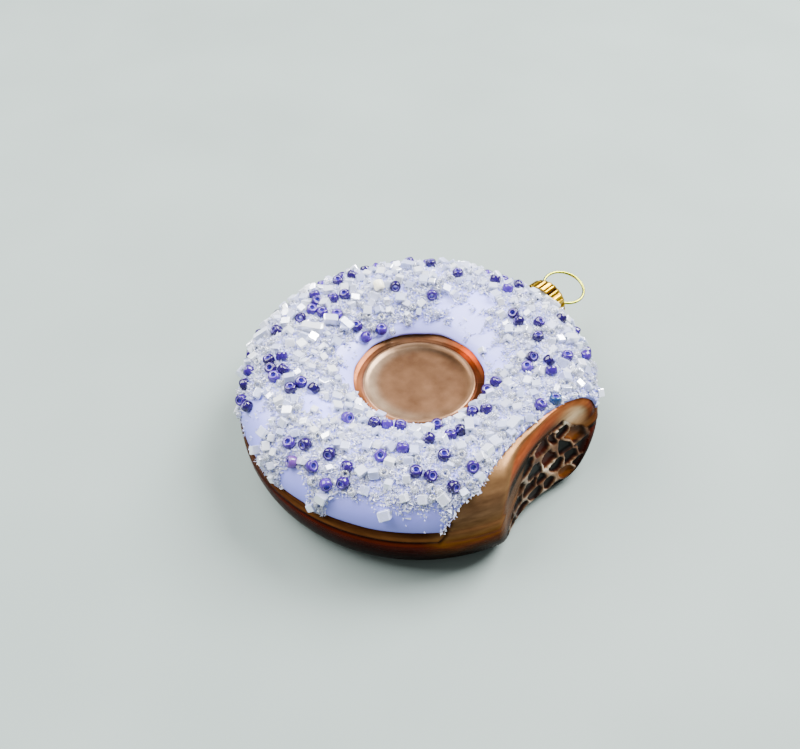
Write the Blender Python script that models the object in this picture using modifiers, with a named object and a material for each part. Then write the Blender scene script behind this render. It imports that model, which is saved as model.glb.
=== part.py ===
"""Blown-glass ornament in the form of an iced ring doughnut with one bite taken out of it.

It lies on its flat underside with the iced face up, as it was photographed. +Z comes out of the
iced face, +Y points out of the hanger cap and +X points out of the bite. The origin is in the
middle of the bounding box's base. Blender works in metres, so sizes are written times MM.
"""
import math
import random

import bmesh
import bpy
from mathutils import Matrix, Vector

MM = 0.001
GAP = 0.3 * MM                      # air left between two pieces that touch

# The ring of glass, as radii from its middle and heights above the table
BODY_RADIUS = 45.0 * MM
CREASE_HEIGHT = 13.0 * MM           # the mould line round the widest place
CROWN_RADIUS = 30.0 * MM
CROWN_HEIGHT = 26.4 * MM            # top of the bare icing
HOLE_RADIUS = 16.0 * MM
HOLE_HEIGHT = 19.2 * MM             # where the icing starts at the hole
PAN_RADIUS = 13.6 * MM              # the closed centre is a shallow pan
PAN_HEIGHT = 18.2 * MM
FOOT_OUTER_RADIUS = 36.5 * MM
FOOT_INNER_RADIUS = 21.0 * MM
UNDER_PAN_HEIGHT = 6.5 * MM
BODY_STEPS = 52
CURVE_STEPS = 5                     # straight runs in a quarter of the section

# The icing: lilac lacquer and glue about as thick as a fingernail
ICING_THICKNESS = 0.8 * MM
ICING_EDGE_HEIGHT = 15.9 * MM
CROWN_POWER = 2.35                  # 2 is a round shoulder, more is a fuller one
HOLE_POWER = 1.5                    # towards the hole it slopes more evenly

# The bite, cut by a turned trumpet whose axis stands outside the ring
BITE_DIRECTION = 6.5                # degrees from +X
BITE_AXIS_DISTANCE = 88.0 * MM
BITE_FOOT_RADIUS = 52.0 * MM
BITE_LEAN = 0.8 * MM                # how far the face leans back below the shoulder
FOOT_ROUNDING = 4.0 * MM            # rounding of the face into the underside
SHOULDER_HEIGHT = 18.5 * MM
SHOULDER_WIDTH = 3.8 * MM           # on the -Y horn
NARROW_SHOULDER = 0.35              # the share of that width on the rest of the bite
WIDENING = (-2.0, 14.0)             # degrees round the bite's axis between which it widens
BITE_STEPS = 110
# The foot of the face bulges out towards the +Y horn and so makes a nearly straight lower edge
FOOT_BULGE = 4.8 * MM
BULGE_TURN = -14.0                  # degrees round the bite's axis
BULGE_SPREAD = 18.0
# The icing stops short of the bite, and shorter still on the horn at its -Y end
ICING_BITE_RADIUS = 75.0 * MM
ICING_BITES = ((1.4, 108.3 * MM), (-16.5, 114.4 * MM))   # degrees from +X, axis distance

# Crumb cells moulded into the bitten face
CELL_ROWS = 4
CELL_PITCH = 5.4 * MM
CELL_RISE = 4.1 * MM                # from one row of cells to the next
LOWEST_CELLS = 3.2 * MM
CELL_SIZE = (2.3 * MM, 1.55 * MM, 0.8 * MM)    # half length, half height, depth
CELL_SIDES = (6, 4)                 # round a cell or a violet bead, and from end to end

# The glass neck, and the pressed brass cap with its wire loop
NECK_RADIUS = 4.9 * MM
NECK_ROOT = 33.0 * MM               # where the neck ends inside the ring
NECK_END = 51.0 * MM
NECK_STEPS = 16
CAP_RADIUS = 6.3 * MM
CAP_WALL = 0.6 * MM
CAP_SKIRT_EDGE = 48.2 * MM
CAP_TOP = 53.4 * MM
CAP_FLUTES = 24
FLUTE_DEPTH = 0.4 * MM
CAP_SLOT_WIDTH = 0.5 * MM
CAP_SLOT_TURN = 24.0                # degrees the slot lies from the top, towards the bite
WIRE_RADIUS = 0.38 * MM
LOOP_RADIUS = 5.9 * MM
LOOP_CENTRE = 59.8 * MM
LEG_SPACING = 3.0 * MM
LEG_END = 51.7 * MM
LOOP_TILT = 12.0                    # degrees the loop leans towards the bite
LOOP_STEPS = 26
HOLE_STEPS = 12

# Beads glued on the icing
SEED_BEAD_RADIUS = 1.42 * MM
SEED_BEAD_LENGTH = 2.0 * MM
SEED_BEAD_LIFT = 0.75 * MM
CUBE_BEAD_SIZE = 2.2 * MM
CUBE_BEAD_LIFT = 0.85 * MM
CUBE_BEAD_COUNT = 68
CUBE_BEAD_MARGIN = 4.2 * MM         # the least distance to the edge of the hole
BEAD_SPACING = 2.7 * MM             # the least distance from a cube to a violet bead
CUBE_SPACING = 3.3 * MM             # and to the next cube
BEAD_SEED = 11
# The violet beads lie singly and in clusters: degrees from +X and radius in mm
VIOLET_BEADS = (
    (180, 31), (-177, 36), (-174, 33.4), (-173, 26.4), (-169, 29.4), (-168, 32.3), (-161, 33),
    (174, 30), (-178, 43.6), (-177, 21.3), (-177, 18.3), (-168, 43.8), (-158, 44), (-152, 37),
    (-151, 44.9), (-136, 33.2), (-135, 36.2), (-130, 35.6), (-128, 32.6), (-125, 35),
    (-134, 41.2), (-129, 42), (-124, 43), (-119, 42), (-118, 29.3), (-116, 32), (-113, 27),
    (-94, 38.8), (-89, 37), (-89, 41), (-86, 25.6), (-82, 39.7), (-79, 36), (-75, 41.3),
    (-71, 37), (-70, 40), (-73, 22.8), (-66, 21.6), (-58, 20.8), (-61, 32.4), (-53, 29.4),
    (-47, 35.3), (-42, 36.3), (-41, 26.2), (-36, 31.8), (-35, 38.9), (-34, 20.5), (-30, 26),
    (-24, 25.3), (-27, 35.8), (-7, 20.2), (-1, 22.4), (14, 32.3), (20, 34.6), (20, 18.4),
    (28, 19.7), (35, 32), (41, 31.4), (37, 26.5), (44, 27.7), (45, 36), (49, 41), (57, 30.3),
    (60, 44.9), (66, 32.6), (67, 44), (68, 39.6), (71, 28.4), (77, 28.8), (92, 34.8),
    (92, 39.6), (97, 43.5), (102, 43.4), (108, 43.4), (100, 36.2), (116, 33.5), (125, 43.3),
    (126, 24.7), (129, 37.4), (131, 43.3), (138, 38.8), (143, 43.3), (147, 27.6), (150, 43.3),
    (154, 43.3), (163, 36.5), (163, 43.4), (167, 18.1), (170, 36.4), (171, 43.5),
)
# Bare icing: degrees from +X, radius and half width in mm
BARE_PATCHES = (
    (91, 20, 6.0), (100, 26, 5.0), (128, 17, 4.0), (-147, 18, 4.5), (-111, 43, 4.0),
    (-102, 28, 3.0), (-84, 44, 4.0), (-62, 44, 3.5), (-48, 44, 4.5),
)

VIOLET = (0.16, 0.10, 0.50, 1.0)
LILAC = (0.62, 0.62, 0.86, 1.0)
WHITE = (0.85, 0.88, 0.92, 1.0)
COPPER_BROWN = (0.26, 0.12, 0.06, 1.0)
BRASS = (0.62, 0.42, 0.09, 1.0)
PALE_GOLD = (0.66, 0.66, 0.33, 1.0)


def clear_scene():
    """Remove every object the scene starts with."""
    for old in list(bpy.data.objects):
        bpy.data.objects.remove(old, do_unlink=True)


def new_collection(name):
    collection = bpy.data.collections.new(name)
    bpy.context.scene.collection.children.link(collection)
    return collection


def lacquer(name, colour, roughness, metallic=0.0):
    """A Principled material of one colour."""
    material = bpy.data.materials.new(name)
    material.use_nodes = True
    shader = material.node_tree.nodes["Principled BSDF"]
    shader.inputs["Base Color"].default_value = colour
    shader.inputs["Roughness"].default_value = roughness
    shader.inputs["Metallic"].default_value = metallic
    return material


def add_object(name, data, collection):
    thing = bpy.data.objects.new(name, data)
    collection.objects.link(thing)
    return thing


def mesh_from(bm, name):
    """A mesh made of a bmesh, which is freed."""
    mesh = bpy.data.meshes.new(name)
    bm.to_mesh(mesh)
    bm.free()
    return mesh


def baked(thing):
    """Replace an object's data with the mesh that its modifiers or its curve give."""
    bpy.context.view_layer.update()
    evaluated = thing.evaluated_get(bpy.context.evaluated_depsgraph_get())
    mesh = bpy.data.meshes.new_from_object(evaluated)
    solid = add_object(thing.name + "_baked", mesh, thing.users_collection[0])
    solid.matrix_world = thing.matrix_world.copy()
    name = thing.name
    bpy.data.objects.remove(thing, do_unlink=True)
    solid.name = name
    return solid


def turned(name, profile, steps, collection, closed=False):
    """Turn a profile of (radius, height) points about the object's own Z axis."""
    bm = bmesh.new()
    points = [bm.verts.new((radius, 0.0, height)) for radius, height in profile]
    for first, second in zip(points, points[1:]):
        bm.edges.new((first, second))
    if closed:
        bm.edges.new((points[-1], points[0]))
    thing = add_object(name, mesh_from(bm, name), collection)
    screw = thing.modifiers.new("turn", "SCREW")
    screw.axis = "Z"
    screw.steps = steps
    screw.render_steps = steps
    screw.use_merge_vertices = True
    screw.merge_threshold = 0.00001
    screw.use_smooth_shade = True
    return thing


def combine(thing, operation, other, name):
    """Add a Boolean modifier that joins or cuts with an object or a collection."""
    boolean = thing.modifiers.new(name, "BOOLEAN")
    boolean.operation = operation
    boolean.solver = "EXACT"
    boolean.material_mode = "TRANSFER"
    if isinstance(other, bpy.types.Collection):
        boolean.operand_type = "COLLECTION"
        boolean.collection = other
    else:
        boolean.object = other


def make_cutter(thing):
    thing.hide_render = True
    thing.display_type = "WIRE"


def corner(centre, radii, start, stop, steps, power=2.0):
    """Points of a rounded corner, from one angle to another, as (radius, height)."""
    points = []
    for step in range(steps + 1):
        angle = math.radians(start + (stop - start) * step / steps)
        across, up = math.cos(angle), math.sin(angle)
        points.append((centre[0] + radii[0] * math.copysign(abs(across) ** (2 / power), across),
                       centre[1] + radii[1] * math.copysign(abs(up) ** (2 / power), up)))
    return points


def icing_curve(steps=24):
    """The iced surface in section, from the hole over the crown to the lower edge."""
    inner = corner((CROWN_RADIUS, HOLE_HEIGHT),
                   (CROWN_RADIUS - HOLE_RADIUS, CROWN_HEIGHT - HOLE_HEIGHT),
                   180, 90, steps, HOLE_POWER)
    edge_rise = (ICING_EDGE_HEIGHT - CREASE_HEIGHT) / (CROWN_HEIGHT - CREASE_HEIGHT)
    edge_angle = math.degrees(math.asin(edge_rise ** (CROWN_POWER / 2)))
    outer = corner((CROWN_RADIUS, CREASE_HEIGHT),
                   (BODY_RADIUS - 0.1 * MM - CROWN_RADIUS, CROWN_HEIGHT - CREASE_HEIGHT),
                   90, edge_angle, steps, CROWN_POWER)
    return inner + outer[1:]


def inset_curve(curve, depth):
    """The same curve moved a depth into the glass, square to its surface."""
    moved = []
    for index, (radius, height) in enumerate(curve):
        before = Vector(curve[max(index - 1, 0)])
        after = Vector(curve[min(index + 1, len(curve) - 1)])
        along = (after - before).normalized()
        moved.append((radius + depth * along.y, height - depth * along.x))
    return moved


def body_profile():
    """Section of the glass, from the top pan over the ring to the recess underneath."""
    seat = inset_curve(icing_curve(CURVE_STEPS), ICING_THICKNESS + GAP)
    pan = [(0.0, PAN_HEIGHT), (PAN_RADIUS - 1.2 * MM, PAN_HEIGHT),
           (PAN_RADIUS, PAN_HEIGHT + 0.4 * MM), (HOLE_RADIUS - 0.1 * MM, HOLE_HEIGHT - 0.75 * MM),
           (HOLE_RADIUS + 0.7 * MM, HOLE_HEIGHT - 0.95 * MM)]
    ledge = [(BODY_RADIUS - 1.5 * MM, ICING_EDGE_HEIGHT - GAP - 0.1 * MM),
             (BODY_RADIUS - 0.75 * MM, ICING_EDGE_HEIGHT - 0.6 * MM),
             (BODY_RADIUS, CREASE_HEIGHT + 0.2 * MM)]
    lower = corner((FOOT_OUTER_RADIUS, CREASE_HEIGHT - 0.3 * MM),
                   (BODY_RADIUS - 0.2 * MM - FOOT_OUTER_RADIUS, CREASE_HEIGHT - 0.3 * MM),
                   0, -90, CURVE_STEPS, 2.3)
    recess = corner((FOOT_INNER_RADIUS, 5.0 * MM), (5.0 * MM, 5.0 * MM), 270, 180, 3)
    under = [(PAN_RADIUS, UNDER_PAN_HEIGHT), (0.0, UNDER_PAN_HEIGHT)]
    return pan + seat[1:-1] + ledge + lower + recess + under


def bite_profile():
    """Section of the trumpet that cuts the bite: a leaning face under a rounded shoulder."""
    face_top = BITE_FOOT_RADIUS + BITE_LEAN
    shoulder = corner((face_top + SHOULDER_WIDTH, SHOULDER_HEIGHT),
                      (SHOULDER_WIDTH, CROWN_HEIGHT - ICING_THICKNESS - SHOULDER_HEIGHT),
                      90, 180, 5)
    return ([(0.0, CROWN_HEIGHT * 1.5), (face_top + 3 * SHOULDER_WIDTH, CROWN_HEIGHT * 1.5),
             (face_top + 3 * SHOULDER_WIDTH, CROWN_HEIGHT - ICING_THICKNESS)] + shoulder
            + [(BITE_FOOT_RADIUS, FOOT_ROUNDING), (BITE_FOOT_RADIUS + 0.35 * FOOT_ROUNDING,
                0.3 * FOOT_ROUNDING), (BITE_FOOT_RADIUS + FOOT_ROUNDING, -0.3 * FOOT_ROUNDING),
               (0.0, -0.3 * FOOT_ROUNDING)])


def polar(degrees, distance, height=0.0):
    angle = math.radians(degrees)
    return Vector((distance * math.cos(angle), distance * math.sin(angle), height))


def foot_bulge(turn, height):
    """How far the bitten face stands out at a turn round the bite's axis, most at its foot."""
    share = math.exp(-((turn - BULGE_TURN) / BULGE_SPREAD) ** 2)
    return FOOT_BULGE * share * min(max(1 - height / SHOULDER_HEIGHT, 0.0), 1.0)


def crumb_cells(collection):
    """Flattened balls in staggered rows on the bitten face, which leave its moulded pits."""
    draw = random.Random(BEAD_SEED + 1)
    axis = polar(BITE_DIRECTION, BITE_AXIS_DISTANCE)
    for row in range(CELL_ROWS):
        count = 5 if row % 2 else 6
        for column in range(count):
            along = CELL_PITCH * (column - (count - 1) / 2) + draw.uniform(-0.6, 0.6) * MM
            height = LOWEST_CELLS + CELL_RISE * row + draw.uniform(-0.4, 0.4) * MM
            turn = math.degrees(along / BITE_FOOT_RADIUS)
            face = BITE_FOOT_RADIUS + BITE_LEAN * height / SHOULDER_HEIGHT
            face -= foot_bulge(turn, height)
            bm = bmesh.new()
            bmesh.ops.create_uvsphere(bm, u_segments=CELL_SIDES[0], v_segments=CELL_SIDES[1],
                                      radius=1.0)
            size = draw.uniform(0.65, 1.1)
            flat = Matrix.Diagonal((CELL_SIZE[2], CELL_SIZE[0] * size, CELL_SIZE[1] * size, 1.0))
            lean = Matrix.Rotation(math.radians(draw.uniform(-25, 25)), 4, "X")
            direction = BITE_DIRECTION + 180.0 + turn
            place = Matrix.Translation(axis + polar(direction, face, height))
            place = place @ Matrix.Rotation(math.radians(direction), 4, "Z")
            bmesh.ops.transform(bm, matrix=place @ lean @ flat, verts=bm.verts)
            add_object("crumb_cell", mesh_from(bm, "crumb_cell"), collection)


def narrowing(turn, beyond_face):
    """How much of the shoulder's width is missing at a turn round the bite's axis."""
    share = min(max((turn - WIDENING[0]) / (WIDENING[1] - WIDENING[0]), 0.0), 1.0)
    return (1 - NARROW_SHOULDER) * (1 - share * share * (3 - 2 * share)) * beyond_face


def make_bite(cutters):
    """The cutter of the bite: the turned trumpet, its foot and its shoulder made uneven."""
    bite = baked(turned("bite_cutter", bite_profile(), BITE_STEPS, cutters))
    face_top = BITE_FOOT_RADIUS + BITE_LEAN
    for vertex in bite.data.vertices:
        radius = math.hypot(vertex.co.x, vertex.co.y)
        if radius >= BITE_FOOT_RADIUS:
            turn = math.degrees(math.atan2(vertex.co.y, vertex.co.x)) - BITE_DIRECTION
            turn = turn % 360.0 - 180.0
            inwards = foot_bulge(turn, max(vertex.co.z, 0.0))
            if vertex.co.z > SHOULDER_HEIGHT:
                inwards += narrowing(turn, radius - face_top)
            vertex.co.x *= (radius - inwards) / radius
            vertex.co.y *= (radius - inwards) / radius
    bite.location = polar(BITE_DIRECTION, BITE_AXIS_DISTANCE)
    make_cutter(bite)
    return bite


def make_body(parts, cutters):
    """The glass: the turned ring, its bite with the crumb cells, and the neck under the cap."""
    body = turned("glass_body", body_profile(), BODY_STEPS, parts)
    body.data.materials.append(lacquer("bronze_brown_lacquer", COPPER_BROWN, 0.3, 0.2))
    combine(body, "DIFFERENCE", make_bite(cutters), "bite")
    neck = turned("neck_blank", [(0.0, NECK_END), (NECK_RADIUS - 0.4 * MM, NECK_END),
                                 (NECK_RADIUS, NECK_END - 0.4 * MM), (NECK_RADIUS, NECK_ROOT),
                                 (0.0, NECK_ROOT)], NECK_STEPS, cutters)
    neck.rotation_euler = (math.radians(-90), 0.0, 0.0)
    neck.location = (0.0, 0.0, CREASE_HEIGHT)
    make_cutter(neck)
    combine(body, "UNION", neck, "neck")
    cells = new_collection("crumb_cells")
    crumb_cells(cells)
    combine(body, "DIFFERENCE", cells, "cells")
    body = baked(body)
    for cell in list(cells.objects):
        bpy.data.objects.remove(cell, do_unlink=True)
    bpy.data.collections.remove(cells)
    body.data.shade_smooth()
    body.data.set_sharp_from_angle(angle=math.radians(35))
    return body


class IcingSurface:
    """The iced surface of revolution, read by the length along its section."""

    def __init__(self):
        self.curve = [Vector(point) for point in icing_curve()]
        self.lengths = [0.0]
        for first, second in zip(self.curve, self.curve[1:]):
            self.lengths.append(self.lengths[-1] + (second - first).length)

    def length_at(self, radius):
        """The length along the section at which it reaches a radius."""
        for index in range(1, len(self.curve)):
            if self.curve[index].x >= radius:
                first, second = self.curve[index - 1], self.curve[index]
                share = (radius - first.x) / max(second.x - first.x, 1e-9)
                return self.lengths[index - 1] + share * (second - first).length
        return self.lengths[-1]

    def frame(self, degrees, length, lift):
        """A matrix whose Z is the surface's normal, at a lift above the surface."""
        index = 1
        while index < len(self.lengths) - 1 and self.lengths[index] < length:
            index += 1
        first, second = self.curve[index - 1], self.curve[index]
        share = (length - self.lengths[index - 1]) / (second - first).length
        point = first.lerp(second, share)
        along = (second - first).normalized()
        centre = Vector((point.x - lift * along.y, 0.0, point.y + lift * along.x))
        columns = Matrix(((along.x, 0.0, -along.y), (0.0, 1.0, 0.0), (along.y, 0.0, along.x)))
        turn = Matrix.Rotation(math.radians(degrees), 4, "Z")
        return turn @ Matrix.Translation(centre) @ columns.to_4x4()


def on_icing(place, margin):
    """Whether a bead there lies on the icing, clear of the bite and of the neck."""
    centre = place.to_translation()
    for degrees, distance in ICING_BITES:
        axis = polar(degrees, distance)
        if math.hypot(centre.x - axis.x, centre.y - axis.y) < ICING_BITE_RADIUS + margin:
            return False
    from_neck = math.hypot(centre.x, centre.z - CREASE_HEIGHT)
    return centre.y < 0 or from_neck > NECK_RADIUS + GAP + margin


def far_enough(place, others, distance):
    centre = place.to_translation()
    return all((centre - other.to_translation()).length > distance for other in others)


def violet_places(surface):
    """Places of the violet beads, each sunk a little in the icing."""
    places = []
    for degrees, radius in VIOLET_BEADS:
        length = min(surface.length_at(radius * MM), surface.lengths[-1] - 0.5 * MM)
        place = surface.frame(degrees, length, SEED_BEAD_LIFT)
        if on_icing(place, SEED_BEAD_RADIUS / 2):
            places.append(place)
    return places


def cube_places(surface, draw, taken):
    """Square-cut beads, scattered evenly over the icing except on its bare patches."""
    places = []
    bare = [(polar(degrees, radius * MM), width * MM) for degrees, radius, width in BARE_PATCHES]
    for attempt in range(6000):
        degrees = draw.uniform(0.0, 360.0)
        length = draw.uniform(CUBE_BEAD_MARGIN, surface.lengths[-1] - CUBE_BEAD_MARGIN / 2)
        place = surface.frame(degrees, length, CUBE_BEAD_LIFT)
        centre = place.to_translation()
        radius = math.hypot(centre.x, centre.y)
        wanted = draw.random() < radius / BODY_RADIUS
        clear = all(math.hypot(centre.x - spot.x, centre.y - spot.y) > width
                    for spot, width in bare)
        if (wanted and clear and on_icing(place, CUBE_BEAD_SIZE * 0.7)
                and far_enough(place, taken, BEAD_SPACING)
                and far_enough(place, places, CUBE_SPACING)):
            places.append(place)
        if len(places) == CUBE_BEAD_COUNT:
            break
    return places


def bead_tilt(draw, most):
    """A random turn about the normal after a random lean off it."""
    spin = Matrix.Rotation(draw.uniform(0.0, 2 * math.pi), 4, "Z")
    return spin @ Matrix.Rotation(math.radians(draw.uniform(0.0, most)), 4, "X")


def make_beads(collection):
    """Every bead of the solid model: flattened balls and cubes sunk a little in the icing."""
    surface = IcingSurface()
    draw = random.Random(BEAD_SEED)
    violet = violet_places(surface)
    cubes = cube_places(surface, draw, violet)
    violet_glass = lacquer("violet_glass", VIOLET, 0.1)
    white_glass = lacquer("white_glass", WHITE, 0.15)
    for place in violet:
        bm = bmesh.new()
        bmesh.ops.create_uvsphere(bm, u_segments=CELL_SIDES[0], v_segments=CELL_SIDES[1],
                                  radius=SEED_BEAD_RADIUS)
        squash = Matrix.Diagonal((1.0, 1.0, SEED_BEAD_LENGTH / (2 * SEED_BEAD_RADIUS), 1.0))
        bmesh.ops.transform(bm, matrix=place @ bead_tilt(draw, 65) @ squash, verts=bm.verts)
        bead = add_object("violet_bead", mesh_from(bm, "violet_bead"), collection)
        bead.data.materials.append(violet_glass)
    for place in cubes:
        bm = bmesh.new()
        bmesh.ops.create_cube(bm, size=CUBE_BEAD_SIZE)
        stretch = Matrix.Diagonal((draw.uniform(0.9, 1.25), 1.0, 1.0, 1.0))
        bmesh.ops.transform(bm, matrix=place @ bead_tilt(draw, 22) @ stretch, verts=bm.verts)
        bead = add_object("cube_bead", mesh_from(bm, "cube_bead"), collection)
        bead.data.materials.append(white_glass)


def make_icing(parts, cutters):
    """The icing: a thin turned shell, cut back round the bite and the neck, with its beads."""
    curve = icing_curve(CURVE_STEPS)
    shell = curve + list(reversed(inset_curve(curve, ICING_THICKNESS)))
    icing = turned("icing_with_beads", shell, BODY_STEPS, parts, closed=True)
    icing.data.materials.append(lacquer("lilac_lacquer", LILAC, 0.35))
    top = CROWN_HEIGHT * 2
    for degrees, distance in ICING_BITES:
        cut = turned("icing_bite_cutter", [(0.0, top), (ICING_BITE_RADIUS, top),
                                           (ICING_BITE_RADIUS, 0.0), (0.0, 0.0)],
                     BITE_STEPS, cutters)
        cut.location = polar(degrees, distance)
        make_cutter(cut)
        combine(icing, "DIFFERENCE", cut, "bite")
    collar = turned("neck_cutter", [(0.0, NECK_END), (NECK_RADIUS + GAP, NECK_END),
                                    (NECK_RADIUS + GAP, NECK_ROOT), (0.0, NECK_ROOT)],
                    NECK_STEPS, cutters)
    collar.rotation_euler = (math.radians(-90), 0.0, 0.0)
    collar.location = (0.0, 0.0, CREASE_HEIGHT)
    make_cutter(collar)
    combine(icing, "DIFFERENCE", collar, "neck")
    beads = new_collection("beads")
    make_beads(beads)
    combine(icing, "UNION", beads, "beads")
    icing = baked(icing)
    for bead in list(beads.objects):
        bpy.data.objects.remove(bead, do_unlink=True)
    bpy.data.collections.remove(beads)
    icing.data.shade_smooth()
    icing.data.set_sharp_from_angle(angle=math.radians(35))
    return icing


def make_cap(parts, cutters):
    """The pressed cap: a fluted cup over the neck, with a slot and two holes for the wire."""
    outer = [(0.0, CAP_TOP + 0.3 * MM), (CAP_RADIUS * 0.55, CAP_TOP),
             (CAP_RADIUS - 0.9 * MM, CAP_TOP - 0.3 * MM), (CAP_RADIUS, CAP_TOP - 1.1 * MM),
             (CAP_RADIUS + 0.1 * MM, CAP_SKIRT_EDGE)]
    inner = [(CAP_RADIUS - CAP_WALL, CAP_SKIRT_EDGE),
             (CAP_RADIUS - CAP_WALL - 0.1 * MM, CAP_TOP - 1.2 * MM),
             (CAP_RADIUS * 0.5, CAP_TOP - CAP_WALL), (0.0, CAP_TOP + 0.3 * MM - CAP_WALL)]
    cap = baked(turned("hanger_cap", outer + inner, CAP_FLUTES * 2, parts))
    for vertex in cap.data.vertices:
        radius = math.hypot(vertex.co.x, vertex.co.y)
        fade = max(0.0, min(1.0, (CAP_TOP - 0.3 * MM - vertex.co.z) / (1.0 * MM)))
        if radius > CAP_RADIUS * 0.8:
            angle = math.atan2(vertex.co.y, vertex.co.x)
            wave = 0.5 + 0.5 * math.cos(CAP_FLUTES * angle)
            scale = (radius - FLUTE_DEPTH * fade * wave) / radius
            vertex.co.x *= scale
            vertex.co.y *= scale
    cap.rotation_euler = (math.radians(-90), 0.0, 0.0)
    cap.location = (0.0, 0.0, CREASE_HEIGHT)
    above_cap = CAP_TOP + CAP_RADIUS
    tilt = math.radians(LOOP_TILT)
    for side in (-1, 1):
        hole = turned("wire_hole_cutter", [(0.0, above_cap), (WIRE_RADIUS + GAP, above_cap),
                                           (WIRE_RADIUS + GAP, NECK_END), (0.0, NECK_END)],
                      HOLE_STEPS, cutters)
        hole.rotation_euler = (math.radians(-90), 0.0, 0.0)
        hole.location = (side * LEG_SPACING / 2 * math.cos(tilt), 0.0,
                         CREASE_HEIGHT - side * LEG_SPACING / 2 * math.sin(tilt))
        make_cutter(hole)
        combine(cap, "DIFFERENCE", hole, "wire_hole")
    bm = bmesh.new()
    bmesh.ops.create_cube(bm, size=1.0)
    size = Matrix.Diagonal((CAP_SLOT_WIDTH, CAP_TOP - CAP_SKIRT_EDGE, CAP_RADIUS, 1.0))
    lift = Matrix.Translation((0.0, CAP_SKIRT_EDGE + 1.2 * MM, CAP_RADIUS))
    bmesh.ops.transform(bm, matrix=lift @ size, verts=bm.verts)
    slot = add_object("slot_cutter", mesh_from(bm, "slot_cutter"), cutters)
    slot.location = (0.0, 0.0, CREASE_HEIGHT)
    slot.rotation_euler = (0.0, math.radians(CAP_SLOT_TURN), 0.0)
    make_cutter(slot)
    combine(cap, "DIFFERENCE", slot, "slot")
    cap.data.shade_smooth()
    cap.data.set_sharp_from_angle(angle=math.radians(30))
    cap.data.materials.append(lacquer("pressed_brass", BRASS, 0.3, 1.0))
    return cap


def make_loop(parts):
    """The wire loop: one open ring whose two legs go down through the cap's holes."""
    opening = math.asin(LEG_SPACING / 2 / LOOP_RADIUS)
    start = -math.pi / 2 + opening
    route = [Vector((LEG_SPACING / 2, LEG_END, 0.0))]
    for step in range(LOOP_STEPS + 1):
        angle = start + (2 * math.pi - 2 * opening) * step / LOOP_STEPS
        route.append(Vector((LOOP_RADIUS * math.cos(angle),
                             LOOP_CENTRE + LOOP_RADIUS * math.sin(angle), 0.0)))
    route.append(Vector((-LEG_SPACING / 2, LEG_END, 0.0)))
    wire = bpy.data.curves.new("hanger_loop", "CURVE")
    wire.dimensions = "3D"
    wire.bevel_depth = WIRE_RADIUS
    wire.bevel_resolution = 2
    wire.use_fill_caps = True
    spline = wire.splines.new("POLY")
    spline.points.add(len(route) - 1)
    for point, place in zip(spline.points, route):
        point.co = (place.x, place.y, place.z, 1.0)
    loop = add_object("hanger_loop", wire, parts)
    loop.location = (0.0, 0.0, CREASE_HEIGHT)
    loop.rotation_euler = (0.0, math.radians(LOOP_TILT), 0.0)
    wire.materials.append(lacquer("pale_gold_wire", PALE_GOLD, 0.3, 1.0))
    return loop


def centre_on_base(parts, cutters):
    """Move everything so that the origin is in the middle of the bounding box's base."""
    bpy.context.view_layer.update()
    depsgraph = bpy.context.evaluated_depsgraph_get()
    corners = []
    for thing in parts.objects:
        mesh = thing.evaluated_get(depsgraph).to_mesh()
        corners.extend(thing.matrix_world @ vertex.co for vertex in mesh.vertices)
    low = Vector(min(point[axis] for point in corners) for axis in range(3))
    high = Vector(max(point[axis] for point in corners) for axis in range(3))
    shift = Vector((-(low.x + high.x) / 2, -(low.y + high.y) / 2, -low.z))
    for thing in list(parts.objects) + list(cutters.objects):
        thing.location += shift


clear_scene()
ornament = new_collection("glass_doughnut_ornament")
tools = new_collection("cutters")
make_body(ornament, tools)
make_icing(ornament, tools)
make_cap(ornament, tools)
make_loop(ornament)
centre_on_base(ornament, tools)
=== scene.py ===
"""The looks of a blown-glass doughnut ornament, bitten, iced, beaded and capped.

The sections follow the workshop: the bubble of glass is lacquered and iced, beads and crushed
glass go into the wet icing, and the cap and its wire come last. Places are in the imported
model's frame, in metres, and sizes are written in millimetres times MM.
"""
import math
import random

import bpy
import numpy as np
from mathutils import Matrix, Vector


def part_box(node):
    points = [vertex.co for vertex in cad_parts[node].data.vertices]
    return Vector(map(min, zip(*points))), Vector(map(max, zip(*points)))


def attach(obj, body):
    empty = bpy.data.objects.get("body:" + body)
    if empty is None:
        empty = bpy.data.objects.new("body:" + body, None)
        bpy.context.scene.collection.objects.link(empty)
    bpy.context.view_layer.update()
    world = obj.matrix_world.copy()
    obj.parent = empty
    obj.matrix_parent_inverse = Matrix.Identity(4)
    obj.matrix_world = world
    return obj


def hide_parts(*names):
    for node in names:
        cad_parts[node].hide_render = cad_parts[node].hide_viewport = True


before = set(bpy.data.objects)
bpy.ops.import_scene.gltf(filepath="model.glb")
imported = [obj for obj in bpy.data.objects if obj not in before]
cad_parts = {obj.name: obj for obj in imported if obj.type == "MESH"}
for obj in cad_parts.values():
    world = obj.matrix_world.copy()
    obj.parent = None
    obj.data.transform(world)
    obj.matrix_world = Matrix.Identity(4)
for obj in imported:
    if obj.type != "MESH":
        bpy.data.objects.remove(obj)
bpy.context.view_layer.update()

# The glass: one bubble of clear glass blown in a doughnut mould, with the bite and its crumb
# moulded in. Bronze-brown lacquer is its whole colour; its tones run from near black low down to
# copper on the shoulders, with painted shade, painted highlights and painted reflections laid in.
# The skin is laid out column by column round the ring and pulled in where the bite is.
MM = 0.001
BODY_RADIUS = 45.0 * MM
CREASE_HEIGHT = 13.0 * MM           # the mould line round the widest place
CREASE_DEPTH = 0.45 * MM
CROWN_RADIUS = 30.0 * MM
CROWN_HEIGHT = 26.4 * MM
CROWN_POWER = 2.35
HOLE_POWER = 1.5
HOLE_RADIUS = 16.0 * MM
HOLE_HEIGHT = 19.2 * MM
PAN_RADIUS = 13.6 * MM
PAN_HEIGHT = 18.2 * MM
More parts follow.
